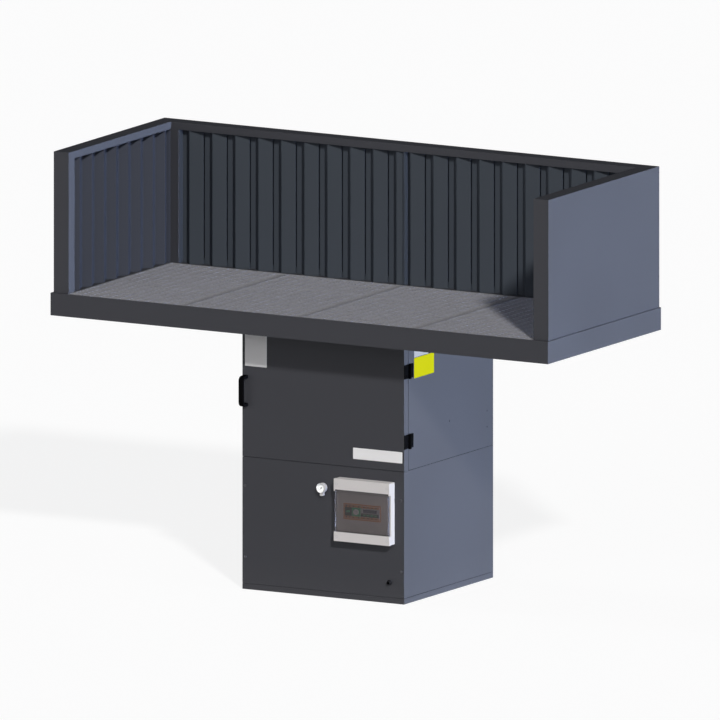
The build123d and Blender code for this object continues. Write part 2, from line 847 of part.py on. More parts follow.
# Spark trap: two staggered layers of flat bars in a frame that slides on the upper rails
chamber_front = housing_front + cabinet_sheet
chamber_back = cabinet_back - cabinet_sheet
chamber_middle_y = (chamber_front + chamber_back) / 2
trap_half_width = door_opening_half_width - trap_clearance
trap_front = chamber_front + trap_clearance
trap_back = chamber_back - trap_clearance
trap_bottom = trap_rail_top
trap_inner_width = 2 * (trap_half_width - trap_frame)
trap_inner_depth = trap_back - trap_front - 2 * trap_frame
trap_bars = floor((trap_inner_width - trap_bar_pitch / 2) / trap_bar_pitch)
with BuildPart() as spark_trap:
    slab((-trap_half_width, trap_front, trap_bottom), (trap_half_width, trap_back, trap_bottom + trap_height))
    slab(
        (-trap_half_width + trap_frame, trap_front + trap_frame, trap_bottom - overrun),
        (trap_half_width - trap_frame, trap_back - trap_frame, trap_bottom + trap_height + overrun),
        Mode.SUBTRACT,
    )
    for layer_bottom, shift in (
        (trap_bottom, -trap_bar_pitch / 4),
        (trap_bottom + trap_height - trap_bar_height, trap_bar_pitch / 4),
    ):
        with BuildSketch(Plane((shift, chamber_middle_y, layer_bottom))):
            with GridLocations(trap_bar_pitch, trap_bar_pitch, trap_bars, 1):
                Rectangle(trap_bar_width, trap_inner_depth + trap_frame)
        extrude(amount=trap_bar_height)
export_piece(spark_trap.part, "spark_trap")

# Tube sheet on the lower rails, pierced under each cartridge
with BuildPart() as tube_sheet:
    with BuildSketch(Plane((0, chamber_middle_y, tube_sheet_height))):
        Rectangle(2 * (inside_half - fan_plate_clearance), chamber_back - chamber_front - 2 * fan_plate_clearance)
        with GridLocations(cartridge_spacing_x, cartridge_spacing_y, 2, 2):
            Circle(cartridge_core_radius, mode=Mode.SUBTRACT)
    extrude(amount=tube_sheet_thickness)
export_piece(tube_sheet.part, "tube_sheet")

# Cartridges: media between two end caps, each held down by a rod and a knob
cartridge_bottom = tube_sheet_height + tube_sheet_thickness + cartridge_seat_gap
media_bottom = cartridge_bottom + cartridge_cap_thickness
media_top = media_bottom + cartridge_length
cartridge_top = media_top + cartridge_cap_thickness
knob_bottom = cartridge_top + knob_seat_gap


def cartridge_rings(height, outer, inner, length):
    """Adds one ring or disc to the part at the place of each cartridge."""
    with BuildSketch(Plane((0, chamber_middle_y, height))) as rings:
        with GridLocations(cartridge_spacing_x, cartridge_spacing_y, 2, 2):
            Circle(outer)
            if inner:
                Circle(inner, mode=Mode.SUBTRACT)
    extrude(rings.sketch, amount=length)


with BuildPart() as filter_media:
    cartridge_rings(media_bottom, cartridge_radius, cartridge_core_radius, cartridge_length)
export_piece(filter_media.part, "filter_media")

with BuildPart() as filter_caps:
    cartridge_rings(cartridge_bottom, cartridge_cap_radius, cartridge_core_radius, cartridge_cap_thickness)
    cartridge_rings(media_top, cartridge_cap_radius, rod_radius + rod_hole_clearance, cartridge_cap_thickness)
export_piece(filter_caps.part, "filter_caps")

yoke_top = tube_sheet_height
with BuildPart() as filter_rods:
    cartridge_rings(yoke_top - yoke_bar_thickness, rod_radius, 0, cartridge_top + rod_rise - yoke_top + yoke_bar_thickness)
    with BuildSketch(Plane((0, chamber_middle_y, yoke_top - yoke_bar_thickness))):
        with GridLocations(cartridge_spacing_x, cartridge_spacing_y, 2, 2):
            Rectangle(2 * (cartridge_core_radius + yoke_bar_overlap), yoke_bar_width)
    extrude(amount=yoke_bar_thickness)
export_piece(filter_rods.part, "filter_rods")

with BuildPart() as filter_knobs:
    cartridge_rings(knob_bottom, knob_radius, rod_radius + knob_bore_clearance, knob_height)
export_piece(filter_knobs.part, "filter_knobs")

# Fan plate with the inlet cone, under the filter chamber
fan_y = cabinet_middle_y
fan_plate_bottom = seam_height + cabinet_sheet
fan_plate_top = fan_plate_bottom + fan_plate_thickness
with BuildPart() as fan_plate:
    slab(
        (-inside_half + fan_plate_clearance, chamber_front + fan_plate_clearance, fan_plate_bottom),
        (inside_half - fan_plate_clearance, chamber_back - fan_plate_clearance, fan_plate_top),
    )
    with BuildSketch(Plane((0, fan_y, fan_plate_bottom))):
        Circle(inlet_radius + inlet_sheet + inlet_fit_gap)
    extrude(amount=fan_plate_thickness, mode=Mode.SUBTRACT)
export_piece(fan_plate.part, "fan_plate")

inlet_bottom = fan_plate_top - inlet_depth
with BuildPart() as inlet_cone:
    with BuildSketch(Plane((0, fan_y, 0), x_dir=(1, 0, 0), z_dir=(0, -1, 0))):
        with BuildLine():
            Polyline(
                (inlet_radius, fan_plate_top + inlet_sheet),
                (inlet_radius + inlet_sheet + inlet_flange, fan_plate_top + inlet_sheet),
                (inlet_radius + inlet_sheet + inlet_flange, fan_plate_top),
                (inlet_radius + inlet_sheet, fan_plate_top),
                (inlet_throat_radius + inlet_sheet, inlet_bottom),
                (inlet_throat_radius, inlet_bottom),
                close=True,
            )
        make_face()
    revolve(axis=Axis((0, fan_y, 0), (0, 0, 1)))
export_piece(inlet_cone.part, "inlet_cone")

# Impeller: disc, shroud ring, curved blades and hub
impeller_top = fan_plate_bottom - impeller_plate_gap
impeller_bottom = impeller_top - impeller_height
eye_radius = inlet_throat_radius + inlet_sheet + eye_clearance
hub_top = impeller_bottom + impeller_disc + hub_height
with BuildPart() as impeller:
    with BuildSketch(Plane((0, fan_y, impeller_bottom))):
        Circle(impeller_radius)
    extrude(amount=impeller_disc)
    with BuildSketch(Plane((0, fan_y, impeller_top - impeller_disc))):
        Circle(impeller_radius)
        Circle(eye_radius, mode=Mode.SUBTRACT)
    extrude(amount=impeller_disc)
    with BuildSketch(Plane((0, fan_y, impeller_bottom))):
        with PolarLocations(0, blade_count):
            with BuildLine() as blade_line:
                ThreePointArc(
                    (blade_inner_radius, 0),
                    PolarLocations((blade_inner_radius + blade_outer_radius) / 2 + blade_camber, 1, -blade_lag / 2)
                    .local_locations[0]
                    .position,
                    PolarLocations(blade_outer_radius, 1, -blade_lag).local_locations[0].position,
                )
                offset(amount=blade_thickness / 2, side=Side.BOTH)
            make_face()
    extrude(amount=impeller_height)
    with BuildSketch(Plane((0, fan_y, impeller_bottom))):
        Circle(hub_radius)
    extrude(amount=impeller_disc + hub_height)
    with BuildSketch(Plane((0, fan_y, impeller_bottom))):
        Circle(shaft_radius + shaft_fit)
    extrude(amount=impeller_disc + hub_height, mode=Mode.SUBTRACT)
export_piece(impeller.part, "impeller")

# Motor: a finned case with a boss, a shaft in it, and a stool under it
motor_top = impeller_bottom - motor_top_gap - motor_boss_height
motor_bottom = motor_top - motor_length
terminal_length, terminal_width, terminal_height = terminal_box_size
shaft_bottom = motor_top - shaft_depth_in_motor
with BuildPart() as motor_body:
    with BuildSketch(Plane((0, fan_y, motor_bottom))):
        Circle(motor_radius - motor_fin_depth)
        with PolarLocations(motor_radius - motor_fin_depth, motor_fin_count):
            Rectangle(2 * motor_fin_depth, motor_fin_width)
    extrude(amount=motor_length)
    with BuildSketch(Plane((0, fan_y, motor_top))):
        Circle(motor_boss_radius)
    extrude(amount=motor_boss_height)
    with BuildSketch(Plane((motor_radius, fan_y, (motor_bottom + motor_top) / 2))):
        Rectangle(terminal_length, terminal_width)
    extrude(amount=terminal_height / 2, both=True)
    with BuildSketch(Plane((0, fan_y, shaft_bottom))):
        Circle(shaft_radius + shaft_fit)
    extrude(amount=shaft_depth_in_motor + motor_boss_height, mode=Mode.SUBTRACT)
export_piece(motor_body.part, "motor_body")

with BuildPart() as motor_shaft:
    with BuildSketch(Plane((0, fan_y, shaft_bottom))):
        Circle(shaft_radius)
    extrude(amount=hub_top - shaft_bottom)
export_piece(motor_shaft.part, "motor_shaft")

stool_bottom = base_height + cabinet_sheet
stool_leg_place = (stool_size - stool_leg) / 2
with BuildPart() as motor_stool:
    with BuildSketch(Plane((0, fan_y, motor_bottom - stool_plate))):
        Rectangle(stool_size, stool_size)
    extrude(amount=stool_plate)
    with BuildSketch(Plane((0, fan_y, stool_bottom))):
        with GridLocations(2 * stool_leg_place, 2 * stool_leg_place, 2, 2):
            Rectangle(stool_leg, stool_leg)
    extrude(amount=motor_bottom - stool_plate - stool_bottom)
export_piece(motor_stool.part, "motor_stool")

# Outlet grille on the inner face of the back: two side bars with slats between them, welded edge to edge
grille_half = outlet_half_width + grille_border
grille_opening = grille_half - 2 * grille_border
grille_back = cabinet_back - cabinet_sheet
grille_front = grille_back - grille_thickness
grille_bottom = outlet_bottom - grille_border
grille_top = outlet_bottom + outlet_height + grille_border
grille_slots = floor(outlet_height / grille_slat_pitch)
first_slot = (grille_bottom + grille_top - (grille_slots - 1) * grille_slat_pitch - grille_slot_height) / 2
slot_bottoms = [first_slot + number * grille_slat_pitch for number in range(grille_slots)]
slat_bottoms = [grille_bottom, *(slot_bottom + grille_slot_height for slot_bottom in slot_bottoms)]
slat_tops = [*slot_bottoms, grille_top]
grille_bars = [
    bar((low_x, grille_front, grille_bottom), (high_x, grille_back, grille_top))
    for low_x, high_x in ((-grille_half, -grille_opening), (grille_opening, grille_half))
]
grille_bars += [
    bar((-grille_opening, grille_front, slat_bottom), (grille_opening, grille_back, slat_top))
    for slat_bottom, slat_top in zip(slat_bottoms, slat_tops)
]
export_piece(Compound(grille_bars), "outlet_grille")

# Control box: base on the panel, cover with two bands, hinged window between them
box_left = box_center_x - box_width / 2
box_right = box_center_x + box_width / 2
box_top = box_bottom + box_height
box_front = cabinet_front - box_base_depth
cover_front = box_front - box_wall
band_front = box_front - box_band_depth
window_top_z = box_top - box_top_band
window_bottom_z = box_bottom + box_bottom_band
device_left = box_left + device_opening_left
device_right = device_left + device_opening_width
device_bottom = box_bottom + device_opening_rise
device_middle_z = device_bottom + device_opening_height / 2
wiring_z = box_bottom + wiring_hole_rise

with BuildPart() as control_box_base:
    with BuildSketch(front_plane):
        with Locations((box_center_x, box_bottom + box_height / 2)):
            RectangleRounded(box_width, box_height, box_corner_radius)
    extrude(amount=box_base_depth)
    slab(
        (box_left + box_wall, box_front - overrun, box_bottom + box_wall),
        (box_right - box_wall, cabinet_front - box_wall, box_top - box_wall),
        Mode.SUBTRACT,
    )
    with BuildSketch(front_plane):
        with Locations((box_center_x, wiring_z)):
            Circle(wiring_hole_radius)
    extrude(amount=box_wall, mode=Mode.SUBTRACT)
export_piece(control_box_base.part, "control_box_base")

pivot_z = window_top_z - window_gap - window_pivot_inset
pivot_y = band_front + window_pivot_inset
ear_bottom = pivot_z - window_pivot_inset
with BuildPart() as control_box_cover:
    slab((box_left, cover_front, box_bottom), (box_right, box_front, box_top))
    for band_bottom, band_top in ((window_top_z, box_top), (box_bottom, window_bottom_z)):
        slab((box_left, band_front, band_bottom), (box_right, box_front, band_top))
        slab(
            (box_left + box_wall, band_front + box_wall, band_bottom + box_wall),
            (box_right - box_wall, box_front + overrun, band_top - box_wall),
            Mode.SUBTRACT,
        )
    for ear_left in (box_left, box_right - window_ear_width):
        slab((ear_left, band_front, ear_bottom), (ear_left + window_ear_width, cover_front, window_top_z))
        with BuildSketch(Plane.YZ.offset(ear_left)):
            with Locations((pivot_y, pivot_z)):
                Circle(window_pin_radius + window_pin_clearance)
        extrude(amount=window_ear_width, mode=Mode.SUBTRACT)
    slab(
        (device_left, cover_front - overrun, device_bottom),
        (device_right, box_front + overrun, device_bottom + device_opening_height),
        Mode.SUBTRACT,
    )
export_piece(control_box_cover.part, "control_box_cover")

window_left = box_left + window_ear_width + window_gap
window_right = box_right - window_ear_width - window_gap
window_back = band_front + window_thickness
with BuildPart() as control_window:
    slab(
        (window_left, band_front, window_bottom_z + window_gap),
        (window_right, window_back, window_top_z - window_gap),
    )
    fillet(
        control_window.edges().filter_by(Axis.X).group_by(Axis.Y)[0].sort_by(Axis.Z)[-1],
        window_pivot_inset,
    )
    slab(
        (window_left + window_wall, band_front + window_wall, window_bottom_z + window_gap + window_wall),
        (window_right - window_wall, window_back + overrun, ear_bottom - window_wall),
        Mode.SUBTRACT,
    )
    for hole_left in (window_left, window_right - window_pin_length):
        with BuildSketch(Plane.YZ.offset(hole_left)):
            with Locations((pivot_y, pivot_z)):
                Circle(window_pin_radius + window_pin_clearance)
        extrude(amount=window_pin_length, mode=Mode.SUBTRACT)
export_piece(control_window.part, "control_window")

window_pin_reach = window_ear_width + window_gap + window_pin_length - window_pin_end_gap
with BuildPart() as window_pins:
    for pin_left in (box_left, box_right - window_pin_reach):
        with BuildSketch(Plane.YZ.offset(pin_left)):
            with Locations((pivot_y, pivot_z)):
                Circle(window_pin_radius)
        extrude(amount=window_pin_reach)
export_piece(window_pins.part, "window_pins")

# Rail and the modular devices on it
rail_back = cabinet_front - box_wall
rail_front = rail_back - din_rail_depth
rail_middle_x = (device_left + device_right) / 2
with BuildPart() as din_rail:
    with BuildSketch(Plane.YZ.offset(rail_middle_x - din_rail_length / 2)):
        with Locations((rail_back - din_rail_sheet / 2, device_middle_z)):
            Rectangle(din_rail_sheet, din_rail_width - 2 * din_lip)
        for side in (-1, 1):
            with Locations(
                ((rail_back + rail_front) / 2, device_middle_z + side * (din_rail_width / 2 - din_lip))
            ):
                Rectangle(din_rail_depth, din_rail_sheet)
            with Locations(
                (rail_front + din_rail_sheet / 2, device_middle_z + side * (din_rail_width - din_lip) / 2)
            ):
                Rectangle(din_rail_sheet, din_lip + din_rail_sheet)
    extrude(amount=din_rail_length)
export_piece(din_rail.part, "din_rail")

device_front = cover_front - device_proud
device_low = device_bottom + device_clearance
device_high = device_bottom + device_opening_height - device_clearance
switch_left = device_left + device_clearance
switch_right = switch_left + switch_width
button_left = switch_right + device_clearance
button_right = button_left + button_width
controller_left = button_right + device_clearance
controller_right = device_right - device_clearance
rocker_axis_x = (switch_left + switch_right) / 2
rocker_axis_y = device_front + rocker_sink
rocker_plane = Plane.YZ.offset(rocker_axis_x)
button_axis_x = (button_left + button_right) / 2
device_face = Plane.XZ.offset(-device_front)

with BuildPart() as switch_body:
    slab((switch_left, device_front, device_low), (switch_right, rail_front, device_high))
    with BuildSketch(rocker_plane):
        with Locations((rocker_axis_y, device_middle_z)):
            Circle(rocker_radius + rocker_clearance)
    extrude(amount=rocker_width / 2 + rocker_clearance, both=True, mode=Mode.SUBTRACT)
export_piece(switch_body.part, "switch_body")

with BuildPart() as switch_rocker:
    with BuildSketch(rocker_plane):
        with Locations((rocker_axis_y, device_middle_z)):
            Circle(rocker_radius)
        with Locations((rocker_axis_y - (rocker_sink + rocker_lever) / 2, device_middle_z)):
            Rectangle(rocker_sink + rocker_lever, rocker_lever_thickness)
    extrude(amount=rocker_width / 2, both=True)
export_piece(switch_rocker.part, "switch_rocker")

with BuildPart() as button_body:
    slab((button_left, device_front, device_low), (button_right, rail_front, device_high))
    with BuildSketch(device_face):
        with Locations((button_axis_x, device_middle_z)):
            Circle(button_radius + button_clearance)
    extrude(amount=-(button_depth - button_proud + button_travel + button_clearance), mode=Mode.SUBTRACT)
export_piece(button_body.part, "button_body")

with BuildPart() as push_button:
    with BuildSketch(Plane.XZ.offset(button_proud - device_front)):
        with Locations((button_axis_x, device_middle_z)):
            Circle(button_radius)
    extrude(amount=-button_depth)
export_piece(push_button.part, "push_button")

display_low = device_middle_z
display_high = display_low + display_height
with BuildPart() as controller_body:
    slab((controller_left, device_front, device_low), (controller_right, rail_front, device_high))
    slab(
        (controller_left + display_margin, device_front - overrun, display_low),
        (controller_right - display_margin, device_front + display_depth, display_high),
        Mode.SUBTRACT,
    )
export_piece(controller_body.part, "controller_body")

with BuildPart() as controller_display:
    slab(
        (controller_left + display_margin, device_front, display_low),
        (controller_right - display_margin, device_front + display_depth, display_high),
    )
export_piece(controller_display.part, "controller_display")

# Pressure gauge: case with its stem and pipe, lens and needle
gauge_face = cabinet_front - gauge_depth
pocket_floor = gauge_face + gauge_pocket_depth
needle_front = pocket_floor - gauge_needle_gap - gauge_needle_thickness
lens_back = gauge_face + gauge_lens_thickness
stem_bottom = gauge_height - gauge_stem_drop
pipe_z = stem_bottom + gauge_stem_width / 2
pin_front = lens_back + gauge_needle_gap
pocket_plane = Plane.XZ.offset(-pocket_floor)
with BuildPart() as gauge_case:
    with BuildSketch(front_plane):
        with Locations((0, gauge_height)):
            Circle(gauge_radius)
        with Locations((0, (stem_bottom + gauge_height) / 2)):
            Rectangle(gauge_stem_width, gauge_stem_drop)
    extrude(amount=gauge_depth)
    with BuildSketch(pocket_plane):
        with Locations((0, gauge_height)):
            Circle(gauge_radius - gauge_rim)
    extrude(amount=gauge_pocket_depth, mode=Mode.SUBTRACT)
    with BuildSketch(pocket_plane):
        with Locations((0, gauge_height)):
            Circle(gauge_pin_radius)
    extrude(amount=pocket_floor - pin_front)
    slab(
        (-gauge_stem_width, gauge_face - overrun, stem_bottom - overrun),
        (gauge_stem_width, gauge_face + gauge_depth / 4, gauge_height - gauge_radius),
        Mode.SUBTRACT,
    )
    with BuildSketch(front_plane):
        with Locations((0, pipe_z)):
            Circle(gauge_pipe_radius)
    extrude(amount=-gauge_pipe_length)
export_piece(gauge_case.part, "gauge_case")

with BuildPart() as gauge_lens:
    with BuildSketch(Plane.XZ.offset(-lens_back)):
        with Locations((0, gauge_height)):
            Circle(gauge_radius - gauge_rim - gauge_lens_clearance)
    extrude(amount=gauge_lens_thickness)
export_piece(gauge_lens.part, "gauge_lens")

needle_middle = (gauge_needle_length - gauge_needle_tail) / 2
with BuildPart() as gauge_needle:
    with BuildSketch(Plane.XZ.offset(-(needle_front + gauge_needle_thickness))):
        with Locations(Location((0, gauge_height), gauge_needle_rest)):
            with Locations((needle_middle, 0)):
                Rectangle(gauge_needle_length + gauge_needle_tail, gauge_needle_width)
            Circle(gauge_needle_hub_radius)
            Circle(gauge_pin_radius + gauge_pin_clearance, mode=Mode.SUBTRACT)
    extrude(amount=gauge_needle_thickness)
export_piece(gauge_needle.part, "gauge_needle")

# Cable gland
with BuildPart() as cable_gland:
    with BuildSketch(front_plane):
        with Locations((gland_x, gland_z)):
            RegularPolygon(gland_hex_radius, 6)
    extrude(amount=gland_hex_height)
    with BuildSketch(front_plane):
        with Locations((gland_x, gland_z)):
            Circle(gland_dome_radius)
    extrude(amount=gland_hex_height + gland_dome_height)
    with BuildSketch(front_plane):
        with Locations((gland_x, gland_z)):
            Circle(gland_thread_radius)
    extrude(amount=-gland_inner_length)
    with BuildSketch(Plane.XZ.offset(-(cabinet_front + cabinet_sheet))):
        with Locations((gland_x, gland_z)):
            RegularPolygon(gland_hex_radius, 6)
    extrude(amount=-gland_nut_height)
    with BuildSketch(Plane.XZ.offset(-(cabinet_front + gland_inner_length))):
        with Locations((gland_x, gland_z)):
            Circle(gland_bore_radius)
    extrude(amount=gland_inner_length + gland_hex_height + gland_dome_height, mode=Mode.SUBTRACT)
export_piece(cable_gland.part, "cable_gland")


# Bare plates on the door and on the cabinet's right side
def bare_plate(plane, places):
    """Builds flat plates, each given by its left edge, lower edge, width and height."""
    with BuildPart() as plates:
        for left, bottom, width, height in places:
            with BuildSketch(plane):
                with Locations((left + width / 2, bottom + height / 2)):
                    RectangleRounded(width, height, plate_corner_radius)
            extrude(amount=plate_thickness)
    return plates.part


door_plate_plane = Plane((-cabinet_half, cabinet_front, 0), x_dir=(1, 0, 0), z_dir=(0, -1, 0))
side_plate_plane = Plane((cabinet_half, cabinet_front, 0), x_dir=(0, 1, 0), z_dir=(1, 0, 0))
export_piece(bare_plate(door_plate_plane, (door_plate,)), "door_label_plate")
export_piece(bare_plate(door_plate_plane, (name_plate_place,)), "door_name_plate")
export_piece(bare_plate(side_plate_plane, (side_plate,)), "side_label_plate")
export_piece(bare_plate(side_plate_plane, (side_note_plate,)), "side_note_plate")
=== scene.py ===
"""Dresses the packed downdraft table: paint, zinc, plastics and small fittings on the CAD frame."""

from __future__ import annotations

import logging
import math
from dataclasses import dataclass, field, replace
from enum import Enum

import bmesh
import bpy
import numpy as np
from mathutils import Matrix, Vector

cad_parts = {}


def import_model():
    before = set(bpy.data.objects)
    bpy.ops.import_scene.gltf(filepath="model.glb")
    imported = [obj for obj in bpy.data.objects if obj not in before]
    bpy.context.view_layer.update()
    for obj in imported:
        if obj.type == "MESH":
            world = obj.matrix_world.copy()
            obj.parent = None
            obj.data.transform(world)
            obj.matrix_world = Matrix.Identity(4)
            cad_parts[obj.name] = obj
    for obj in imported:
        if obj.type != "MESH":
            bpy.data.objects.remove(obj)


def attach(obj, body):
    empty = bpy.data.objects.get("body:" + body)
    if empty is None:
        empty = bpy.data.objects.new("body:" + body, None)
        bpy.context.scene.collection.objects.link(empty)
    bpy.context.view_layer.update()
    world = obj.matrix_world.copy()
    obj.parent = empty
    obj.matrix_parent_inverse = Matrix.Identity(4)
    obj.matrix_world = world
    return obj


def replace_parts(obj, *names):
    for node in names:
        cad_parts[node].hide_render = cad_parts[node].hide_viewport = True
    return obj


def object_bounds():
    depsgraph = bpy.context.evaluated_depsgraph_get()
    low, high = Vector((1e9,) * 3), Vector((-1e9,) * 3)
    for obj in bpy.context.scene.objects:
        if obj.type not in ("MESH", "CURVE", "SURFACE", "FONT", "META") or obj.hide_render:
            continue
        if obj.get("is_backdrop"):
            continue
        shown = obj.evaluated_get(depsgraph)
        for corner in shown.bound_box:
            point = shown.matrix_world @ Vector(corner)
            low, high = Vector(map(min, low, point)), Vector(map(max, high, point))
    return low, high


LOG = logging.getLogger("downdraft_table")
MM = 0.001
Pair = tuple[float, float]
Triple = tuple[float, float, float]
Profile = list[Pair]
Tree = bpy.types.NodeTree
Socket = bpy.types.NodeSocket


# Meshes


class Facing(Enum):
    """The axis that a turned piece or an outline's thickness lies along."""

    RIGHT = ((0.0, 1.0, 0.0), (0.0, 0.0, 1.0), (1.0, 0.0, 0.0))
    FRONT = ((1.0, 0.0, 0.0), (0.0, 0.0, 1.0), (0.0, -1.0, 0.0))

    def axes(self) -> np.ndarray:
        """Gives the across, up and out axes as rows."""
        return np.array(self.value)

    def place(self, points: np.ndarray, origin: Triple) -> np.ndarray:
        """Turns local (across, up, out) points, in millimetres, into the shared frame."""
        return np.asarray(origin) + points @ self.axes()


def rings(radius: np.ndarray, angle: np.ndarray, height: np.ndarray) -> np.ndarray:
    """Gives rings of points about the upright axis: the radius times the angle's direction, at a height.

    Args:
        radius: Column with each ring's radius, or a row of radii for each ring.
        angle: The points' angles.
        height: Column with each ring's height.

    Returns:
        Array of shape (rings, points, 3).
    """
    return np.stack(np.broadcast_arrays(radius * np.cos(angle), radius * np.sin(angle), height), -1)


@dataclass
class Skin:
    """Gathers grids of points and writes them as one mesh piece."""

    points: list[np.ndarray] = field(default_factory=list)
    faces: list[tuple[int, ...]] = field(default_factory=list)
    count: int = 0

    def grid(self, rows: np.ndarray, around: bool = False, along: bool = False, caps: bool = False) -> None:
        """Adds a surface of two parameters given as a grid of points.

        Each face joins point (i, j) to its neighbours (i + 1, j) and (i, j + 1).

        Args:
            rows: Array of shape (rings, points, 3) in millimetres.
            around: Whether each ring closes on itself.
            along: Whether the last ring joins the first.
            caps: Whether the first and last rings are filled.
        """
        many, steps = rows.shape[:2]
        index = np.arange(many * steps).reshape(many, steps) + self.count
        i = np.arange(many if along else many - 1)
        j = np.arange(steps if around else steps - 1)
        shifts = ((0, 0), (0, 1), (1, 1), (1, 0))
        corners = [index[np.ix_((i + up) % many, (j + on) % steps)] for up, on in shifts]
        self.faces.extend(map(tuple, np.stack(corners, -1).reshape(-1, 4).tolist()))
        if caps:
            self.faces.append(tuple(index[0, ::-1].tolist()))
            self.faces.append(tuple(index[-1].tolist()))
        self.points.append(rows.reshape(-1, 3))
        self.count += many * steps

    def turned(
        self, profile: Profile, origin: Triple, facing: Facing, steps: int, lobes: int = 0, depth: float = 0
    ) -> None:
        """Adds a turned form: a profile of (radius, height) pairs carried round the axis.

        With lobes, each radius is multiplied by 1 + depth * cos(lobes * angle).

        Args:
            profile: Radius and height pairs in millimetres, from the foot to the tip.
            origin: Place of the foot's centre.
            facing: Which way the tip points.
            steps: Points round the axis.
            lobes: Number of waves round the rim.
            depth: Height of a wave as a share of the radius.
        """
        angle = np.linspace(0, 2 * np.pi, steps, endpoint=False)
        radius, height = np.array(profile, float).T[:, :, None]
        local = rings(radius * (1 + depth * np.cos(lobes * angle)), angle, height)
        self.grid(facing.place(local, origin), around=True, caps=True)

    def slab(self, low: Triple, high: Triple, radius: float, steps: int = 2) -> None:
        """Adds a block with rounded edges.

        Each point is the block's inner corner in the octant of its direction, plus the radius times that
        direction on a ball, so the eight octants of the ball are drawn apart.

        Args:
            low: Lowest corner in millimetres.
            high: Highest corner in millimetres.
            radius: Radius of the edges in millimetres.
            steps: Faces over each rounded edge.
        """
        low_a, high_a = np.array(low, float), np.array(high, float)
        radius = min(radius, float((high_a - low_a).min()) * 0.49)
        quarter = np.linspace(0, np.pi / 2, steps + 1)
        turn = np.concatenate([quarter + k * np.pi / 2 for k in range(4)])
        side_x = np.repeat([1, -1, -1, 1], steps + 1)
        side_y = np.repeat([1, 1, -1, -1], steps + 1)
        rise = np.concatenate([quarter - np.pi / 2, quarter])
        side_z = np.repeat([-1, 1], steps + 1)
        ball = rings(np.cos(rise)[:, None], turn, np.sin(rise)[:, None])
        corner = np.stack(np.broadcast_arrays(side_x[None, :], side_y[None, :], side_z[:, None]), -1)
        half = (high_a - low_a) / 2 - radius
        self.grid((low_a + high_a) / 2 + corner * half + ball * radius, around=True, caps=True)

    def plate(
        self, outline: np.ndarray, thickness: float, origin: Triple, facing: Facing, edge: float
    ) -> None:
        """Adds a flat piece: a closed outline given a thickness and a small chamfer towards its face.

        The outline is repeated at the back, near the face, and on the face drawn in by the chamfer.

        Args:
            outline: Array of (across, up) points in millimetres, anticlockwise seen from the face.
            thickness: How far the face stands out from the origin.
            origin: Place of the outline's origin on the back.
            facing: Which way the face looks.
            edge: Chamfer in millimetres.
        """
        middle = outline.mean(0)
        reach = np.abs(outline - middle).max(0)
        inner = middle + (outline - middle) * (1 - edge / reach)
        levels = [(outline, 0.0), (outline, thickness - edge), (inner, thickness)]
        rows = [np.column_stack([ring, np.full(len(ring), height)]) for ring, height in levels]
        self.grid(facing.place(np.stack(rows), origin), around=True, caps=True)

    def mesh(self, name: str, sharp: float) -> bpy.types.Mesh:
        """Writes the gathered surfaces as one mesh.

        Doubled points are merged, faces point outwards, and the shading is smooth but for sharp edges.

        Args:
            name: Name of the mesh.
            sharp: Angle in degrees over which an edge stays sharp.

        Returns:
            The new mesh.
        """
        mesh = bpy.data.meshes.new(name)
        mesh.from_pydata((np.concatenate(self.points) * MM).tolist(), [], self.faces)
        work = bmesh.new()
        work.from_mesh(mesh)
        bmesh.ops.remove_doubles(work, verts=work.verts, dist=1e-6)
        bmesh.ops.dissolve_degenerate(work, dist=1e-7, edges=work.edges)
        bmesh.ops.recalc_face_normals(work, faces=work.faces)
        work.to_mesh(mesh)
        work.free()
        mesh.shade_smooth()
        mesh.set_sharp_from_angle(angle=math.radians(sharp))
        return mesh

    def piece(self, name: str, finish: Finish, body: str, sharp: float = 35.0) -> bpy.types.Object:
        """Writes the gathered surfaces as one piece that rides on a body.

        Args:
            name: Name of the piece.
            finish: Finish that it is dressed in.
            body: CAD body that it moves with.
            sharp: Angle in degrees over which an edge stays sharp.

        Returns:
            The new object.
        """
        mesh = self.mesh(name, sharp)
        obj = bpy.data.objects.new(name, mesh)
        bpy.context.scene.collection.objects.link(obj)
        mesh.materials.append(finish.material())
        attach(obj, body)
        LOG.info("%s: %d faces on %s", name, len(mesh.polygons), body)
        return obj


def rounded_outline(width: float, height: float, radius: float, steps: int = 5) -> np.ndarray:
    """Gives a rectangle with round corners about the origin: corner centres plus arcs of a quarter turn.

    Args:
        width: Size across in millimetres.
        height: Size up in millimetres.
        radius: Radius of the corners in millimetres.
        steps: Steps in each arc.

    Returns:
        Array of (across, up) points, anticlockwise.
    """
    quarter = np.linspace(0, np.pi / 2, steps + 1)
    turn = np.concatenate([quarter + k * np.pi / 2 for k in range(4)])
    side_x = np.repeat([1, -1, -1, 1], steps + 1) * (width / 2 - radius)
    side_y = np.repeat([1, 1, -1, -1], steps + 1) * (height / 2 - radius)
    return np.column_stack([side_x + radius * np.cos(turn), side_y + radius * np.sin(turn)])


def carried(section: np.ndarray, path: np.ndarray, side: np.ndarray) -> np.ndarray:
    """Carries a section along a path: each ring is the path's point plus the section in its own cross plane.

    Args:
        section: Array of (out, side) points in millimetres.
        path: Array of path points in millimetres.
        side: Unit vector that stays in every cross plane.

    Returns:
        A grid of rings, one for each point of the path.
    """
    ahead = np.gradient(path, axis=0)
    ahead /= np.linalg.norm(ahead, axis=1, keepdims=True)
    out = np.cross(ahead, side)
    out /= np.linalg.norm(out, axis=1, keepdims=True)
    return path[:, None] + section[None, :, 0:1] * out[:, None] + section[None, :, 1:2] * side


# Finishes


class Grain(Enum):
    """The kinds of fine surface that the finishes have."""

    POWDER = "powder coat"
    SPANGLE = "zinc spangle"
    BRUSHED = "brushed metal"
    MOULDED = "moulded plastic"
    FELT = "filter felt"


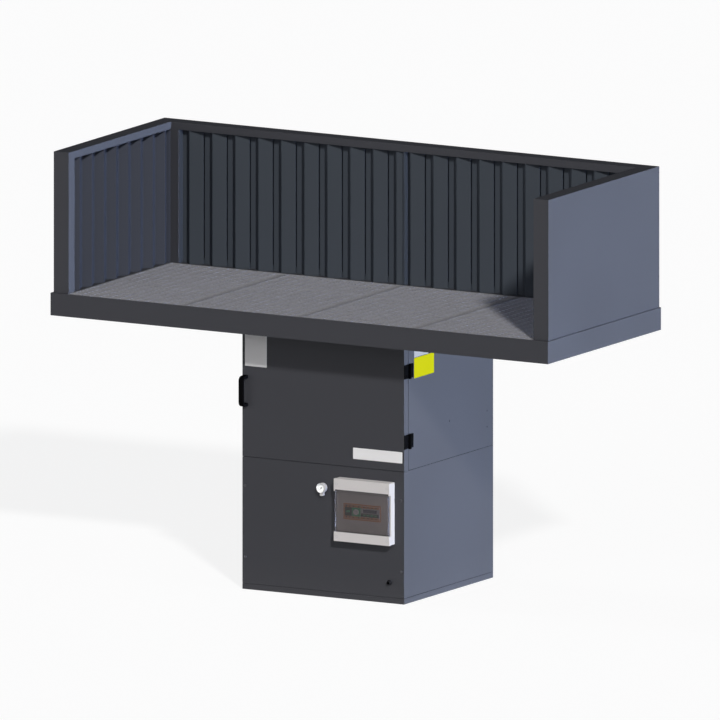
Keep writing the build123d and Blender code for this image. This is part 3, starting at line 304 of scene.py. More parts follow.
def feed(tree: Tree, node: bpy.types.Node, values: dict[str | int, object]) -> None:
    """Fills a node's inputs, each from a socket or with a plain value.

    Args:
        tree: The node's tree.
        node: The node.
        values: What goes into each input, by its name or number.
    """
    for key, value in values.items():
        if isinstance(value, Socket):
            tree.links.new(value, node.inputs[key])
        else:
            node.inputs[key].default_value = value


def new_node(tree: Tree, kind: str, values: dict[str | int, object], **options: object) -> bpy.types.Node:
    """Adds a shader node, sets its options and fills its inputs.

    Args:
        tree: Node tree that it goes into.
        kind: Its type's name without ShaderNode.
        values: What goes into each input, by its name or number.
        options: Its other settings.

    Returns:
        The node.
    """
    node = tree.nodes.new("ShaderNode" + kind)
    for key, value in options.items():
        setattr(node, key, value)
    feed(tree, node, values)
    return node


def math_node(tree: Tree, what: str, first: object, second: object) -> Socket:
    """Adds a Math node for sockets or numbers and gives its output."""
    return new_node(tree, "Math", {0: first, 1: second}, operation=what).outputs[0]


def mix_node(tree: Tree, share: Socket, first: object, second: object) -> Socket:
    """Adds a mix of two colours, by the share of the second, and gives its output."""
    return new_node(tree, "Mix", {0: share, 6: first, 7: second}, data_type="RGBA").outputs[2]


def new_group(name: str, inputs: dict[str, float], outputs: tuple[str, ...]) -> Tree:
    """Makes a node group with sockets for numbers.

    Args:
        name: Name of the group.
        inputs: Names of its inputs with their first values.
        outputs: Names of its outputs.

    Returns:
        The group.
    """
    tree = bpy.data.node_groups.new(name, "ShaderNodeTree")
    for key, value in inputs.items():
        made = tree.interface.new_socket(name=key, in_out="INPUT", socket_type="NodeSocketFloat")
        made.default_value = value
    for key in outputs:
        tree.interface.new_socket(name=key, in_out="OUTPUT", socket_type="NodeSocketFloat")
    return tree


def grain_group(grain: Grain) -> Tree:
    """Builds once the node group of a fine surface: its height and a slow patchy mask.

    The height is fine noise, cells or stretched noise on Object coordinates, and the mask is slow noise.

    Args:
        grain: Which fine surface.

    Returns:
        The group, with inputs Size and Patch (in metres), and outputs Height and Mask.
    """
    name = "surface " + grain.value
    if name in bpy.data.node_groups:
        return bpy.data.node_groups[name]
    tree = new_group(name, {"Size": 0.001, "Patch": 0.2}, ("Height", "Mask"))
    given, put = tree.nodes.new("NodeGroupInput"), tree.nodes.new("NodeGroupOutput")
    where = new_node(tree, "TexCoord", {}).outputs["Object"]
    fine = {"Vector": where, "Scale": math_node(tree, "DIVIDE", 1.0, given.outputs["Size"])}
    slow = {"Vector": where, "Scale": math_node(tree, "DIVIDE", 1.0, given.outputs["Patch"]), "Detail": 3.0}
    mask = new_node(tree, "TexNoise", slow).outputs["Fac"]
    if grain is Grain.SPANGLE:
        cells = new_node(tree, "TexVoronoi", fine, feature="F1")
        height = new_node(tree, "RGBToBW", {0: cells.outputs["Color"]}).outputs[0]
        halves = [math_node(tree, "MULTIPLY", part, 0.5) for part in (mask, height)]
        mask = math_node(tree, "ADD", *halves)
    elif grain is Grain.FELT:
        height = new_node(tree, "TexVoronoi", fine, feature="DISTANCE_TO_EDGE").outputs["Distance"]
    else:
        if grain is Grain.BRUSHED:
            stretch = new_node(tree, "Mapping", {"Vector": where, "Scale": (1.0, 1.0, 0.04)})
            fine["Vector"] = stretch.outputs["Vector"]
        height = new_node(tree, "TexNoise", {**fine, "Detail": 2.0}).outputs["Fac"]
    feed(tree, put, {"Height": height, "Mask": mask})
    return tree


def dust_group() -> Tree:
    """Builds once the group that gives a mask of dust near the floor.

    Dust is one at the floor, falls evenly to nothing at its height, and is multiplied by a rough noise.

    Returns:
        The group, with inputs Height and Patch (in metres) and output Dust.
    """
    name = "floor dust"
    if name in bpy.data.node_groups:
        return bpy.data.node_groups[name]
    tree = new_group(name, {"Height": 0.12, "Patch": 0.02}, ("Dust",))
    given, put = tree.nodes.new("NodeGroupInput"), tree.nodes.new("NodeGroupOutput")
    where = new_node(tree, "TexCoord", {}).outputs["Object"]
    scale = math_node(tree, "DIVIDE", 1.0, given.outputs["Patch"])
    noise = new_node(tree, "TexNoise", {"Vector": where, "Scale": scale, "Detail": 5.0, "Roughness": 0.7})
    rise = new_node(tree, "SeparateXYZ", {0: where}).outputs["Z"]
    span = {"Value": rise, "From Max": given.outputs["Height"], "To Min": 1.0, "To Max": 0.0}
    low = new_node(tree, "MapRange", span)
    feed(tree, put, {"Dust": math_node(tree, "MULTIPLY", low.outputs[0], noise.outputs["Fac"])})
    return tree


@dataclass(frozen=True)
class Finish:
    """A finish: colour, gloss and the fine surface that it shows close by.

    Size, depth and patch are the grain's size, its height and the size of its slow patches, in millimetres.
    """

    name: str
    colour: Triple
    roughness: float
    grain: Grain
    size: float
    depth: float
    patch: float
    patchiness: float
    metallic: float = 0.0
    specular: float = 0.5
    coat: float = 0.0
    coat_roughness: float = 0.15
    dust: float = 0.0
    dust_colour: Triple = (0.3, 0.29, 0.28)
    gloss_spread: float = 0.06
    bump: float = 0.6

    def material(self) -> bpy.types.Material:
        """Makes the material at its first use.

        Returns:
            The material.
        """
        if self.name in bpy.data.materials:
            return bpy.data.materials[self.name]
        made = bpy.data.materials.new(self.name)
        made.use_nodes = True
        tree = made.node_tree
        shader = tree.nodes["Principled BSDF"]
        sizes = {"Size": self.size * MM, "Patch": self.patch * MM}
        surface = new_node(tree, "Group", sizes, node_tree=grain_group(self.grain))
        mask = surface.outputs["Mask"]
        colour = self.patchy(tree, mask)
        if self.dust:
            colour = self.dusted(tree, colour)
        least, most = self.roughness - self.gloss_spread, self.roughness + self.gloss_spread
        span = {"Value": mask, "To Min": max(0.02, least), "To Max": min(1.0, most)}
        rough = new_node(tree, "MapRange", span)
        relief = {"Strength": self.bump, "Distance": self.depth * MM, "Height": surface.outputs["Height"]}
        looks = {
            "Base Color": colour,
            "Metallic": self.metallic,
            "Roughness": rough.outputs[0],
            "Specular IOR Level": self.specular,
            "Coat Weight": self.coat,
            "Coat Roughness": self.coat_roughness,
            "Normal": new_node(tree, "Bump", relief).outputs[0],
        }
        feed(tree, shader, looks)
        self.finished(tree, shader)
        return made

    def patchy(self, tree: Tree, mask: Socket) -> Socket:
        """Mixes a darker and a lighter shade of the colour by the slow mask.

        Args:
            tree: The material's node tree.
            mask: Socket of the slow mask.

        Returns:
            The socket of the mixed colour.
        """
        colour = np.array(self.colour)
        darker, lighter = (np.clip(colour * (1 + way * self.patchiness), 0, 1) for way in (-1, 1))
        return mix_node(tree, mask, (*darker, 1.0), (*lighter, 1.0))

    def dusted(self, tree: Tree, colour: Socket) -> Socket:
        """Lays thin dust over a colour: the dust's own colour, mixed in by its share of the dust mask.

        Args:
            tree: The material's node tree.
            colour: Socket of the colour under the dust.

        Returns:
            The socket of the dusted colour.
        """
        dust = new_node(tree, "Group", {}, node_tree=dust_group())
        share = math_node(tree, "MULTIPLY", dust.outputs["Dust"], self.dust)
        return mix_node(tree, share, colour, (*self.dust_colour, 1.0))

    def finished(self, tree: Tree, shader: bpy.types.Node) -> None:
        """Leaves an opaque finish as it is."""


@dataclass(frozen=True)
class ClearFinish(Finish):
    """A clear or smoked finish that lets light through to what lies behind it."""

    passes: Triple = (0.9, 0.9, 0.9)
    bending: float = 1.45

    def finished(self, tree: Tree, shader: bpy.types.Node) -> None:
        """Makes the finish clear, and lets lamps shine through it with its tint.

        Args:
            tree: The material's node tree.
            shader: Its Principled BSDF.
        """
        feed(tree, shader, {"Transmission Weight": 1.0, "IOR": self.bending})
        rays = new_node(tree, "LightPath", {})
        through = new_node(tree, "BsdfTransparent", {"Color": (*self.passes, 1.0)})
        parts = {0: rays.outputs["Is Shadow Ray"], 1: shader.outputs[0], 2: through.outputs[0]}
        mix = new_node(tree, "MixShader", parts)
        feed(tree, tree.nodes["Material Output"], {"Surface": mix.outputs[0]})


# Name, colour, roughness, grain, then the grain's size, depth and patch in millimetres and its patchiness
PAINT = Finish(
    "grey powder coat", (0.049, 0.05, 0.058), 0.55, Grain.POWDER, 1.4, 0.03, 400.0, 0.05,
    specular=0.22, dust=0.05,
)
# The slats wear the walls' grey powder coat; the bluer tint here is painted blue light on them.
SLAT_COAT_PAINTED_BLUE_LIGHT = Finish(
    "slat coat with painted blue light", (0.055, 0.064, 0.077), 0.7, Grain.POWDER, 1.4, 0.03, 300.0, 0.05, specular=0.08
)
# Lighter, bluer copy of the slat coat for the side walls' slats: painted light where the right wall shades
# them from the side lamp.
SIDE_SLAT_COAT_PAINTED_LIGHT = replace(SLAT_COAT_PAINTED_BLUE_LIGHT, name="side slat coat, lighter copy with painted light", colour=(0.066, 0.073, 0.096))
GRATING_ZINC = Finish(
    "galvanised grating", (0.3, 0.297, 0.31), 0.65, Grain.SPANGLE, 6.0, 0.02, 60.0, 0.14, specular=0.2
)
ZINC = Finish(
    "galvanised sheet", (0.5, 0.51, 0.53), 0.42, Grain.SPANGLE, 9.0, 0.01, 120.0, 0.12, metallic=0.8
)
STEEL = Finish("plain steel", (0.5, 0.5, 0.51), 0.35, Grain.BRUSHED, 1.0, 0.01, 80.0, 0.1, metallic=1.0)
DARK_STEEL = Finish(
    "blackened steel", (0.12, 0.12, 0.13), 0.45, Grain.BRUSHED, 1.0, 0.01, 80.0, 0.1, metallic=0.9
)
MOTOR_ENAMEL = Finish(
    "blue grey enamel", (0.09, 0.13, 0.18), 0.4, Grain.POWDER, 1.6, 0.04, 120.0, 0.08, coat=0.3
)
BLACK_COAT = Finish(
    "black coat", (0.002, 0.002, 0.0025), 0.8, Grain.POWDER, 0.9, 0.02, 60.0, 0.12, specular=0.03
)
BLACK_MOULDING = Finish(
    "black moulding", (0.011, 0.011, 0.013), 0.65, Grain.MOULDED, 0.6, 0.03, 60.0, 0.15, specular=0.15
)
RUBBER = Finish(
    "black rubber", (0.018, 0.018, 0.019), 0.8, Grain.MOULDED, 1.0, 0.05, 90.0, 0.15, specular=0.3
)
FELT = Finish("filter felt", (0.75, 0.74, 0.7), 0.9, Grain.FELT, 0.8, 0.08, 60.0, 0.07, specular=0.2)
WHITE_CASE = Finish(
    "white moulding", (0.74, 0.71, 0.7), 0.7, Grain.MOULDED, 0.7, 0.01, 150.0, 0.02, specular=0.12
)
PALE_MOULDING = replace(
    WHITE_CASE, name="pale moulding", colour=(0.72, 0.71, 0.71), patch=60.0, patchiness=0.03, specular=0.15
)
GREEN_MOULDING = Finish("green moulding", (0.05, 0.42, 0.18), 0.5, Grain.MOULDED, 0.6, 0.01, 40.0, 0.08)
DARK_MOULDING = Finish("dark moulding", (0.035, 0.045, 0.04), 0.45, Grain.MOULDED, 0.6, 0.01, 40.0, 0.1)
GREY_MOULDING = replace(DARK_MOULDING, name="light grey moulding", colour=(0.48, 0.48, 0.5), patchiness=0.04)
AMBER_TRIM = replace(GREEN_MOULDING, name="amber trim", colour=(0.7, 0.28, 0.11), roughness=0.55)
DISPLAY = Finish("violet display", (0.03, 0.012, 0.07), 0.12, Grain.MOULDED, 2.0, 0.002, 30.0, 0.1, coat=0.6)
WHITE_PLATE = Finish(
    "white plate", (0.75, 0.75, 0.76), 0.7, Grain.MOULDED, 0.8, 0.004, 90.0, 0.02, specular=0.1
)
# Lighter copy of the white plate for the door's plates: painted light that makes up for the tray's shadow
# and the dim front.
WHITE_PLATE_PAINTED_LIGHT = replace(WHITE_PLATE, name="white plate with painted light", colour=(0.94, 0.935, 0.935))
YELLOW_PLATE = replace(
    WHITE_PLATE, name="yellow plate", colour=(1.0, 0.93, 0.006), roughness=0.8, specular=0.03
)
DIAL = Finish("dial white", (0.85, 0.85, 0.83), 0.4, Grain.MOULDED, 0.6, 0.004, 30.0, 0.02)
PRINT = Finish("black print", (0.015, 0.015, 0.017), 0.5, Grain.MOULDED, 0.6, 0.004, 30.0, 0.1)
SMOKED = ClearFinish(
    "smoked clear", (0.3, 0.28, 0.28), 0.06, Grain.MOULDED, 3.0, 0.004, 80.0, 0.02,
    passes=(0.28, 0.265, 0.265),
)
CLEAR = ClearFinish(
    "clear glass", (0.97, 0.98, 0.98), 0.03, Grain.MOULDED, 3.0, 0.002, 80.0, 0.01, passes=(0.95, 0.95, 0.95)
)


def dress(finish: Finish, *names: str) -> None:
    """Gives CAD nodes their finish.

    Args:
        finish: Finish that they get.
        names: Names of the nodes.
    """
    for name in names:
        mesh = bpy.data.objects[name].data
        mesh.materials.clear()
        mesh.materials.append(finish.material())


# Sub-assemblies, with sizes in millimetres


@dataclass
class Worktop:
    """The tray, the gratings and the frame under them."""

    panels: int = 4

    def build(self) -> None:
        """Dresses the tray and its gratings."""
        dress(PAINT, "tray")
        dress(ZINC, "grating_frame")
        dress(GRATING_ZINC, *(f"grating_panel_{i + 1}" for i in range(self.panels)))


@dataclass
class SuctionWalls:
    """Three hollow walls and the folded slats in them."""

    def build(self) -> None:
        """Dresses the shells and the slats."""
        dress(PAINT, "left_wall_shell", "right_wall_shell", "back_wall_shell")
        dress(SIDE_SLAT_COAT_PAINTED_LIGHT, "left_baffle", "right_baffle")
        dress(SLAT_COAT_PAINTED_BLUE_LIGHT, "back_baffle_left", "back_baffle_right")


@dataclass
class Cabinet:
    """Plinth, housings and front panel, with the screws, rivets and gland on them."""

    front: float = -230.0
    right: float = 325.0
    screw_places: tuple[Pair, ...] = ((-313, 115), (313, 115), (-313, 368), (313, 368))
    rivet_places: tuple[Pair, ...] = ((93.5, 603), (359, 599), (359, 542))
    gland_place: Pair = (267.6, 74.0)
    back: float = 400.0
    seams: tuple[Pair, ...] = ((-226.0, 20.0), (-196.0, 470.0))

    def build(self) -> None:
        """Dresses the sheet metal and makes the small fittings."""
        dress(PAINT, "base_frame", "lower_housing", "lower_front_panel", "upper_housing", "outlet_grille")
        self.screws()
        self.rivets()
        self.gland()
        self.painted_seam_shade()

    def screws(self) -> None:
        """Makes pan-head screws: a domed turned head with a six-lobed socket, over a plain shank."""
        head = [(2.5, -12), (2.5, 0), (5, 0), (5, 0.9), (4.6, 1.8), (3.6, 2.4), (2.6, 2.6)]
        socket = [(2.6, 2.6), (1.7, 2.5), (1.6, 1.1)]
        skin = Skin()
        for x, z in self.screw_places:
            skin.turned(head, (x, self.front, z), Facing.FRONT, 24)
            skin.turned(socket, (x, self.front, z), Facing.FRONT, 24, 6, 0.12)
        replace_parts(skin.piece("panel_screw_heads", DARK_STEEL, "cabinet"), "front_panel_screws")

    def rivets(self) -> None:
        """Makes blind rivets: a low dome with the dimple of its broken pin."""
        dome = [(2, -6), (2, 0), (4, 0), (3.8, 0.7), (3, 1.2), (1.6, 1.5), (1.2, 0.9)]
        skin = Skin()
        for y, z in self.rivet_places:
            skin.turned(dome, (self.right, y, z), Facing.RIGHT, 20)
        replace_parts(skin.piece("side_rivet_heads", PAINT, "cabinet"), "side_rivets")

    def gland(self) -> None:
        """Makes the cable gland: a hexagon, a ribbed cap that narrows to its mouth, a thread and a nut."""
        x, z = self.gland_place
        place = (x, self.front, z)
        hexagon = [(9.6, 0), (9.9, 0.4), (9.9, 4.6), (9.4, 5)]
        cap = [(8.0, 5), (7.5, 5.4), (7.4, 10), (6.6, 12), (5.2, 13)]
        mouth = [(5.2, 13), (4.1, 12.8), (4.0, 9)]
        thread = [(4.0, -10), (5.8, -10), (6, -9.4), (6, 0)]
        nut = [(9.4, -6), (9.9, -5.6), (9.9, -2.2), (9.4, -2)]
        skin = Skin()
        skin.turned(hexagon, place, Facing.FRONT, 6)
        skin.turned(cap, place, Facing.FRONT, 48, 16, 0.03)
        skin.turned(mouth, place, Facing.FRONT, 48)
        skin.turned(thread, place, Facing.FRONT, 32)
        skin.turned(nut, place, Facing.FRONT, 6)
        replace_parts(skin.piece("gland_body", BLACK_MOULDING, "cabinet"), "cable_gland")

    def painted_seam_shade(self) -> None:
        """Lays black strips in the groove at each housing's foot, 0.3 mm under the sheet, on three sides:
        painted shade that darkens the seam.
        """
        skin = Skin()
        sunk, thick, lift, wide = 0.3, 1.05, 0.05, 1.4
        outer, back = self.right - sunk, self.back - sunk
        inner = outer - thick
        for front, foot in self.seams:
            low, high = foot + lift, foot + lift + wide
            for side in (-1.0, 1.0):
                x = sorted((side * inner, side * outer))
                skin.slab((x[0], front, low), (x[1], back, high), 0.2)
            skin.slab((-inner, back - thick, low), (inner, back, high), 0.2)
        # The strips are painted shade in the seam grooves.
        skin.piece("seam_painted_shade_strips", BLACK_COAT, "cabinet")


@dataclass
class FilterDoor:
    """The filter door with its handle, hinges, seal, catches and bare plates."""

    front: float = -230.0
    handle_x: float = -312.0
    handle_z: float = 705.0
    handle_length: float = 112.0
    handle_reach: float = 35.0
    handle_width: float = 20.0
    grip: float = 9.0
    foot: float = 13.0
    bend: float = 12.0
    squareness: float = 5.0
    taper: float = 0.8
    hinge_heights: Pair = (575.0, 824.0)
    leaf_face: float = 328.0
    screw_offset: float = 14.0
    seal_size: Pair = (596.0, 376.0)
    seal_depth: float = 11.6
    seal_middle: Triple = (0.0, -209.95, 725.0)

    def build(self) -> None:
        """Dresses the door and builds what is on it."""
        dress(PAINT, "filter_door")
        dress(BLACK_COAT, "hinge_body_leaves", "hinge_door_leaves", "hinge_pins")
        dress(BLACK_MOULDING, "magnetic_catches")
        dress(STEEL, "catch_strikes")
        self.handle()
        self.hinge_screws()
        self.seal()
        self.plates()

    def handle(self) -> None:
        """Carries a rounded section along a bridge: out from the door, round, along, round and back.

        The section is a superellipse whose exponent is the squareness. Its depth falls evenly from the
        foot's to the grip's over the taper's share of the reach.
        """
        turn = np.linspace(0, 2 * np.pi, 36, endpoint=False)
        power = 2 / self.squareness
        squared = [np.sign(wave) * np.abs(wave) ** power / 2 for wave in (np.cos(turn), np.sin(turn))]
        section = np.stack([squared[0], squared[1] * self.handle_width], -1)
        reach = self.handle_reach - self.grip / 2
        half = self.handle_length / 2 - self.foot / 2
        bend = self.bend
        angle = np.linspace(0, np.pi / 2, 9)
        out = np.concatenate([np.linspace(0, reach - bend, 4)[:-1], reach - bend + bend * np.sin(angle)])
        up = np.concatenate([np.full(3, -half), -half + bend - bend * np.cos(angle)])
        path = np.stack([np.concatenate([out, out[::-1]]), np.concatenate([up, -up[::-1]])], -1)
        points = np.column_stack(
            [np.full(len(path), self.handle_x), self.front - path[:, 0], self.handle_z + path[:, 1]]
        )
        depth = self.grip + (self.foot - self.grip) * np.clip(1 - path[:, 0] / (reach * self.taper), 0, 1)
        wide = np.array([1.0, 0.0, 0.0])
        spine = points[:, None]
        across = carried(section, points, wide) - spine
        side = across * wide
        skin = Skin()
        skin.grid(spine + side + (across - side) * depth[:, None, None], around=True, caps=True)
        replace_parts(skin.piece("bridge_handle", BLACK_COAT, "door"), "door_handle")

    def hinge_screws(self) -> None:
        """Puts two low domed screws on each hinge leaf."""
        head = [(3.6, 0), (3.6, 0.3), (3, 0.9), (1.6, 1.2), (1.3, 0.5)]
        leaves = (("hinge_screws_cabinet", "cabinet", -176.0), ("hinge_screws_door", "door", -218.0))
        for name, body, y in leaves:
            skin = Skin()
            for middle in self.hinge_heights:
                for z in (middle - self.screw_offset, middle + self.screw_offset):
                    skin.turned(head, (self.leaf_face, y, z), Facing.RIGHT, 20)
            skin.piece(name, BLACK_COAT, body)

    def seal(self) -> None:
        """Makes the seal: an ellipse cut flat on the door's frame, carried round the opening."""
        outline = rounded_outline(*self.seal_size, 8.0, 4)
        turn = np.linspace(0, 2 * np.pi, 20, endpoint=False)
        half, tall, cut = 5.8, 5.85, -4.6
        bulge = np.stack([half * np.cos(turn), np.maximum(tall * np.sin(turn), cut)], -1)
        low, high = bulge[:, 1].min(), bulge[:, 1].max()
        bulge[:, 1] = (bulge[:, 1] - low) / (high - low) * self.seal_depth
        ahead = np.roll(outline, -1, 0) - np.roll(outline, 1, 0)
        ahead /= np.linalg.norm(ahead, axis=1, keepdims=True)
        out = np.stack([ahead[:, 1], -ahead[:, 0]], -1)
        ring = outline[:, None] + bulge[None, :, :1] * out[:, None]
        local = np.concatenate([ring, np.broadcast_to(-bulge[None, :, 1:], (*ring.shape[:2], 1))], -1)
        skin = Skin()
        skin.grid(Facing.FRONT.place(local, self.seal_middle), around=True, along=True)
        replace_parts(skin.piece("door_seal", RUBBER, "door"), "door_gasket")

    def plates(self) -> None:
        """Makes the bare plates: sheets of 0.5 mm with round corners and a chamfered edge."""
        table = (
            # The door's two plates take the lighter copy of the white plate, as painted light.
            ("door_plate", "door_label_plate", "door", WHITE_PLATE_PAINTED_LIGHT, (-314.6, -230, 793), (87.6, 130)),
            ("door_name_plate_bare", "door_name_plate", "door", WHITE_PLATE_PAINTED_LIGHT, (120, -230, 500), (198, 40)),
            ("side_yellow_plate", "side_label_plate", "cabinet", YELLOW_PLATE, (325, -159, 792), (140, 72)),
            ("side_white_plate", "side_note_plate", "cabinet", WHITE_PLATE, (325, -159, 866), (100, 59)),
        )
        for name, node, body, finish, corner, (width, height) in table:
            facing = Facing.FRONT if body == "door" else Facing.RIGHT
            across, up, _ = facing.axes()
            middle = tuple(np.array(corner, float) + across * width / 2 + up * height / 2)
            skin = Skin()
            skin.plate(rounded_outline(width, height, 2.0), 0.5, middle, facing, 0.15)
            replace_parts(skin.piece(name, finish, body), node)


@dataclass
class ControlBox:
    """The control box with its cover, window and the devices behind the window."""

    screw_columns: Pair = (74.7, 275.9)
    screw_rows: Pair = (226.0, 412.0)
    plate_front: float = -255.5
    band_front: float = -267.5
    device_low: float = 294.5
    device_high: float = 340.5
    device_front: float = -257.0
    cut_out: Pair = (101.4, 242.6)
    button_x: float = 148.0
    cover_deep: float = 7.5
    face_columns: Pair = (167.5, 240.0)
    face_rows: Pair = (303.0, 315.5)
    key_rows: Pair = (306.5, 311.5)
    key_places: tuple[float, ...] = (181.0, 196.0, 211.0, 226.0)

    def build(self) -> None:
        """Dresses the box and adds its small parts."""
        dress(WHITE_CASE, "control_box_base", "control_box_cover")
        dress(SMOKED, "control_window")
        dress(STEEL, "window_pins")
        dress(ZINC, "din_rail")
        dress(DARK_MOULDING, "switch_body")
        dress(GREEN_MOULDING, "switch_rocker", "button_body")
        dress(GREY_MOULDING, "controller_body")
        dress(DISPLAY, "controller_display")
        self.cover_screws()
        self.trim()
        self.button()
        self.terminals()
        self.faces()

    def cover_screws(self) -> None:
        """Puts four flat quarter-turn screws on the bands, each a narrow ring round a sunk disc."""
        head = [(4.2, -0.2), (4.2, 0.0), (3.6, 0.0), (3.3, -0.1), (0.6, -0.1)]
        skin = Skin()
        for x in self.screw_columns:
            for z in self.screw_rows:
                skin.turned(head, (x, self.band_front, z), Facing.FRONT, 28)
        skin.piece("cover_screws", GREY_MOULDING, "cabinet")

    def trim(self) -> None:
        """Frames the cut-out: four thin bars with round edges on the cover."""
        gap, thick, wide = 1.2, 1.2, 4.5
        low, high = self.device_low - gap, self.device_high + gap
        left, right = self.cut_out
        y0, y1 = self.plate_front - thick, self.plate_front + 0.1
        skin = Skin()
        bars = (
            (left - wide, low - wide, right + wide, low),
            (left - wide, high, right + wide, high + wide),
            (left - wide, low, left, high),
            (right, low, right + wide, high),
        )
        for x0, z0, x1, z1 in bars:
            skin.slab((x0, y0, z0), (x1, y1, z1), 0.4)
        skin.piece("cut_out_trim", AMBER_TRIM, "cabinet")

    def button(self) -> None:
        """Makes the push button: a turned cap with a shallow dish and a rounded rim."""
        cap = [(10, -7), (10, 4.2), (9.7, 4.8), (9.2, 5), (7, 4.7), (4, 4.4), (1, 4.3)]
        place = (self.button_x, self.device_front, (self.device_low + self.device_high) / 2)
        skin = Skin()
        skin.turned(cap, place, Facing.FRONT, 40)
        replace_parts(skin.piece("push_button_cap", PALE_MOULDING, "button"), "push_button")

    def terminals(self) -> None:
        """Adds the covers over the terminals, with a round sunk screw for every clamp."""
        covers, wells = Skin(), Skin()
        well = [(2.6, 0), (2.6, 0.15), (2.1, 0.2), (1.9, 0.05), (0.4, 0.05)]
        face = self.device_front - 0.6
        groups = (
            (103.0, 130.0, (110.0, 122.0)),
            (131.0, 165.0, (137.0, 159.0)),
            (166.5, 241.0, (180.0, 196.0, 212.0, 228.0)),
        )
        low, high, deep = self.device_low, self.device_high, self.cover_deep
        rows = ((low, low + deep), (high - deep, high))
        for left, right, places in groups:
            for low, high in rows:
                covers.slab((left, face, low), (right, self.device_front + 0.2, high), 0.3)
                for x in places:
                    wells.turned(well, (x, face, (low + high) / 2), Facing.FRONT, 18)
        covers.piece("terminal_covers", AMBER_TRIM, "cabinet")
        wells.piece("terminal_screws", DARK_MOULDING, "cabinet")

    def faces(self) -> None:
        """Adds the controller's raised face and the keys on it."""
        plates, keys = Skin(), Skin()
        front = self.device_front
        left, right = self.face_columns
        low, high = self.face_rows
        plates.slab((left, front - 0.5, low), (right, front + 0.2, high), 0.3)
        low, high = self.key_rows
        for x in self.key_places:
            keys.slab((x - 4, front - 1.3, low), (x + 4, front - 0.3, high), 0.5)
        plates.piece("controller_face", DARK_MOULDING, "cabinet")
        keys.piece("controller_keys", GREEN_MOULDING, "cabinet")


@dataclass
class PressureGauge:
    """The round gauge beside the control box."""

    height: float = 388.0
    panel: float = -230.0
    dial_depth: float = 14.0
    mark_end: float = 14.0
    zero: float = -135.0
    stem: Pair = (360.0, 374.0)
    pipe_height: float = 366.0

    def build(self) -> None:
        """Builds the case, the dial and the needle."""
        dress(CLEAR, "gauge_lens")
        self.case()
        self.dial()
        self.needle()

    def case(self) -> None:
        """Makes the case: a turned cup with a stepped bezel, the needle's pin, and a stem with its pipe."""
        place = (0.0, self.panel, self.height)
        skin = Skin()
        cup = [(16.6, 0), (16.8, 0.4), (16.8, 13), (17.5, 13.6), (17.5, 18.8), (17.0, 19.7)]
        bezel = [(16.2, 20), (15.6, 19.8), (15.5, 14)]
        skin.turned(cup + bezel, place, Facing.FRONT, 56)
        skin.turned([(1.2, 14), (1.2, 17.6), (0.9, 17.7)], place, Facing.FRONT, 16)
        skin.slab((-6, self.panel - 15, self.stem[0]), (6, self.panel, self.stem[1]), 1.2)
        skin.turned([(5, -12), (5, 0)], (0.0, self.panel, self.pipe_height), Facing.FRONT, 24)
        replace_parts(skin.piece("gauge_housing", PALE_MOULDING, "cabinet"), "gauge_case")

    def dial(self) -> None:
        """Lays a white dial with 28 marks: mark k lies at -135 - 10 k degrees, and every third is longer."""
        face, marks = Skin(), Skin()
        floor = self.panel - self.dial_depth
        face.turned([(15.3, 0), (15.3, 0.15), (1.4, 0.15)], (0.0, floor, self.height), Facing.FRONT, 48)
        face.piece("gauge_dial", DIAL, "cabinet")
        for k in range(28):
            angle = math.radians(self.zero - 10 * k)
            inner, wide = (10.2, 0.45) if k % 3 == 0 else (12.0, 0.25)
            radial = np.array([math.cos(angle), math.sin(angle)])
            side = np.array([-math.sin(angle), math.cos(angle)])
            outer = self.mark_end
            ends = ((inner, -wide), (outer, -wide), (outer, wide), (inner, wide))
            corners = np.array([radial * r + side * w for r, w in ends])
            marks.plate(corners, 0.1, (0.0, floor - 0.15, self.height), Facing.FRONT, 0.02)
        marks.piece("gauge_marks", PRINT, "cabinet")

    def needle(self) -> None:
        """Makes the needle: a thin pointer that tapers to its tip, with a counterweight and a hub."""
        turn = math.radians(self.zero)
        upper = [(-5, -0.8), (-4, -1.1), (3, -0.8), (12, -0.25)]
        shape = np.array(upper + [(x, -y) for x, y in reversed(upper)])
        spin = np.array([[math.cos(turn), math.sin(turn)], [-math.sin(turn), math.cos(turn)]])
        hub = [(1.25, 0.8), (3, 0.8), (3, 1.3), (2.6, 1.6), (1.25, 1.6)]
        floor = self.panel - self.dial_depth
        skin = Skin()
        skin.plate(shape @ spin, 0.5, (0.0, floor - 0.85, self.height), Facing.FRONT, 0.05)
        skin.turned(hub, (0.0, floor, self.height), Facing.FRONT, 24)
        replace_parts(skin.piece("gauge_pointer", PRINT, "needle"), "gauge_needle")


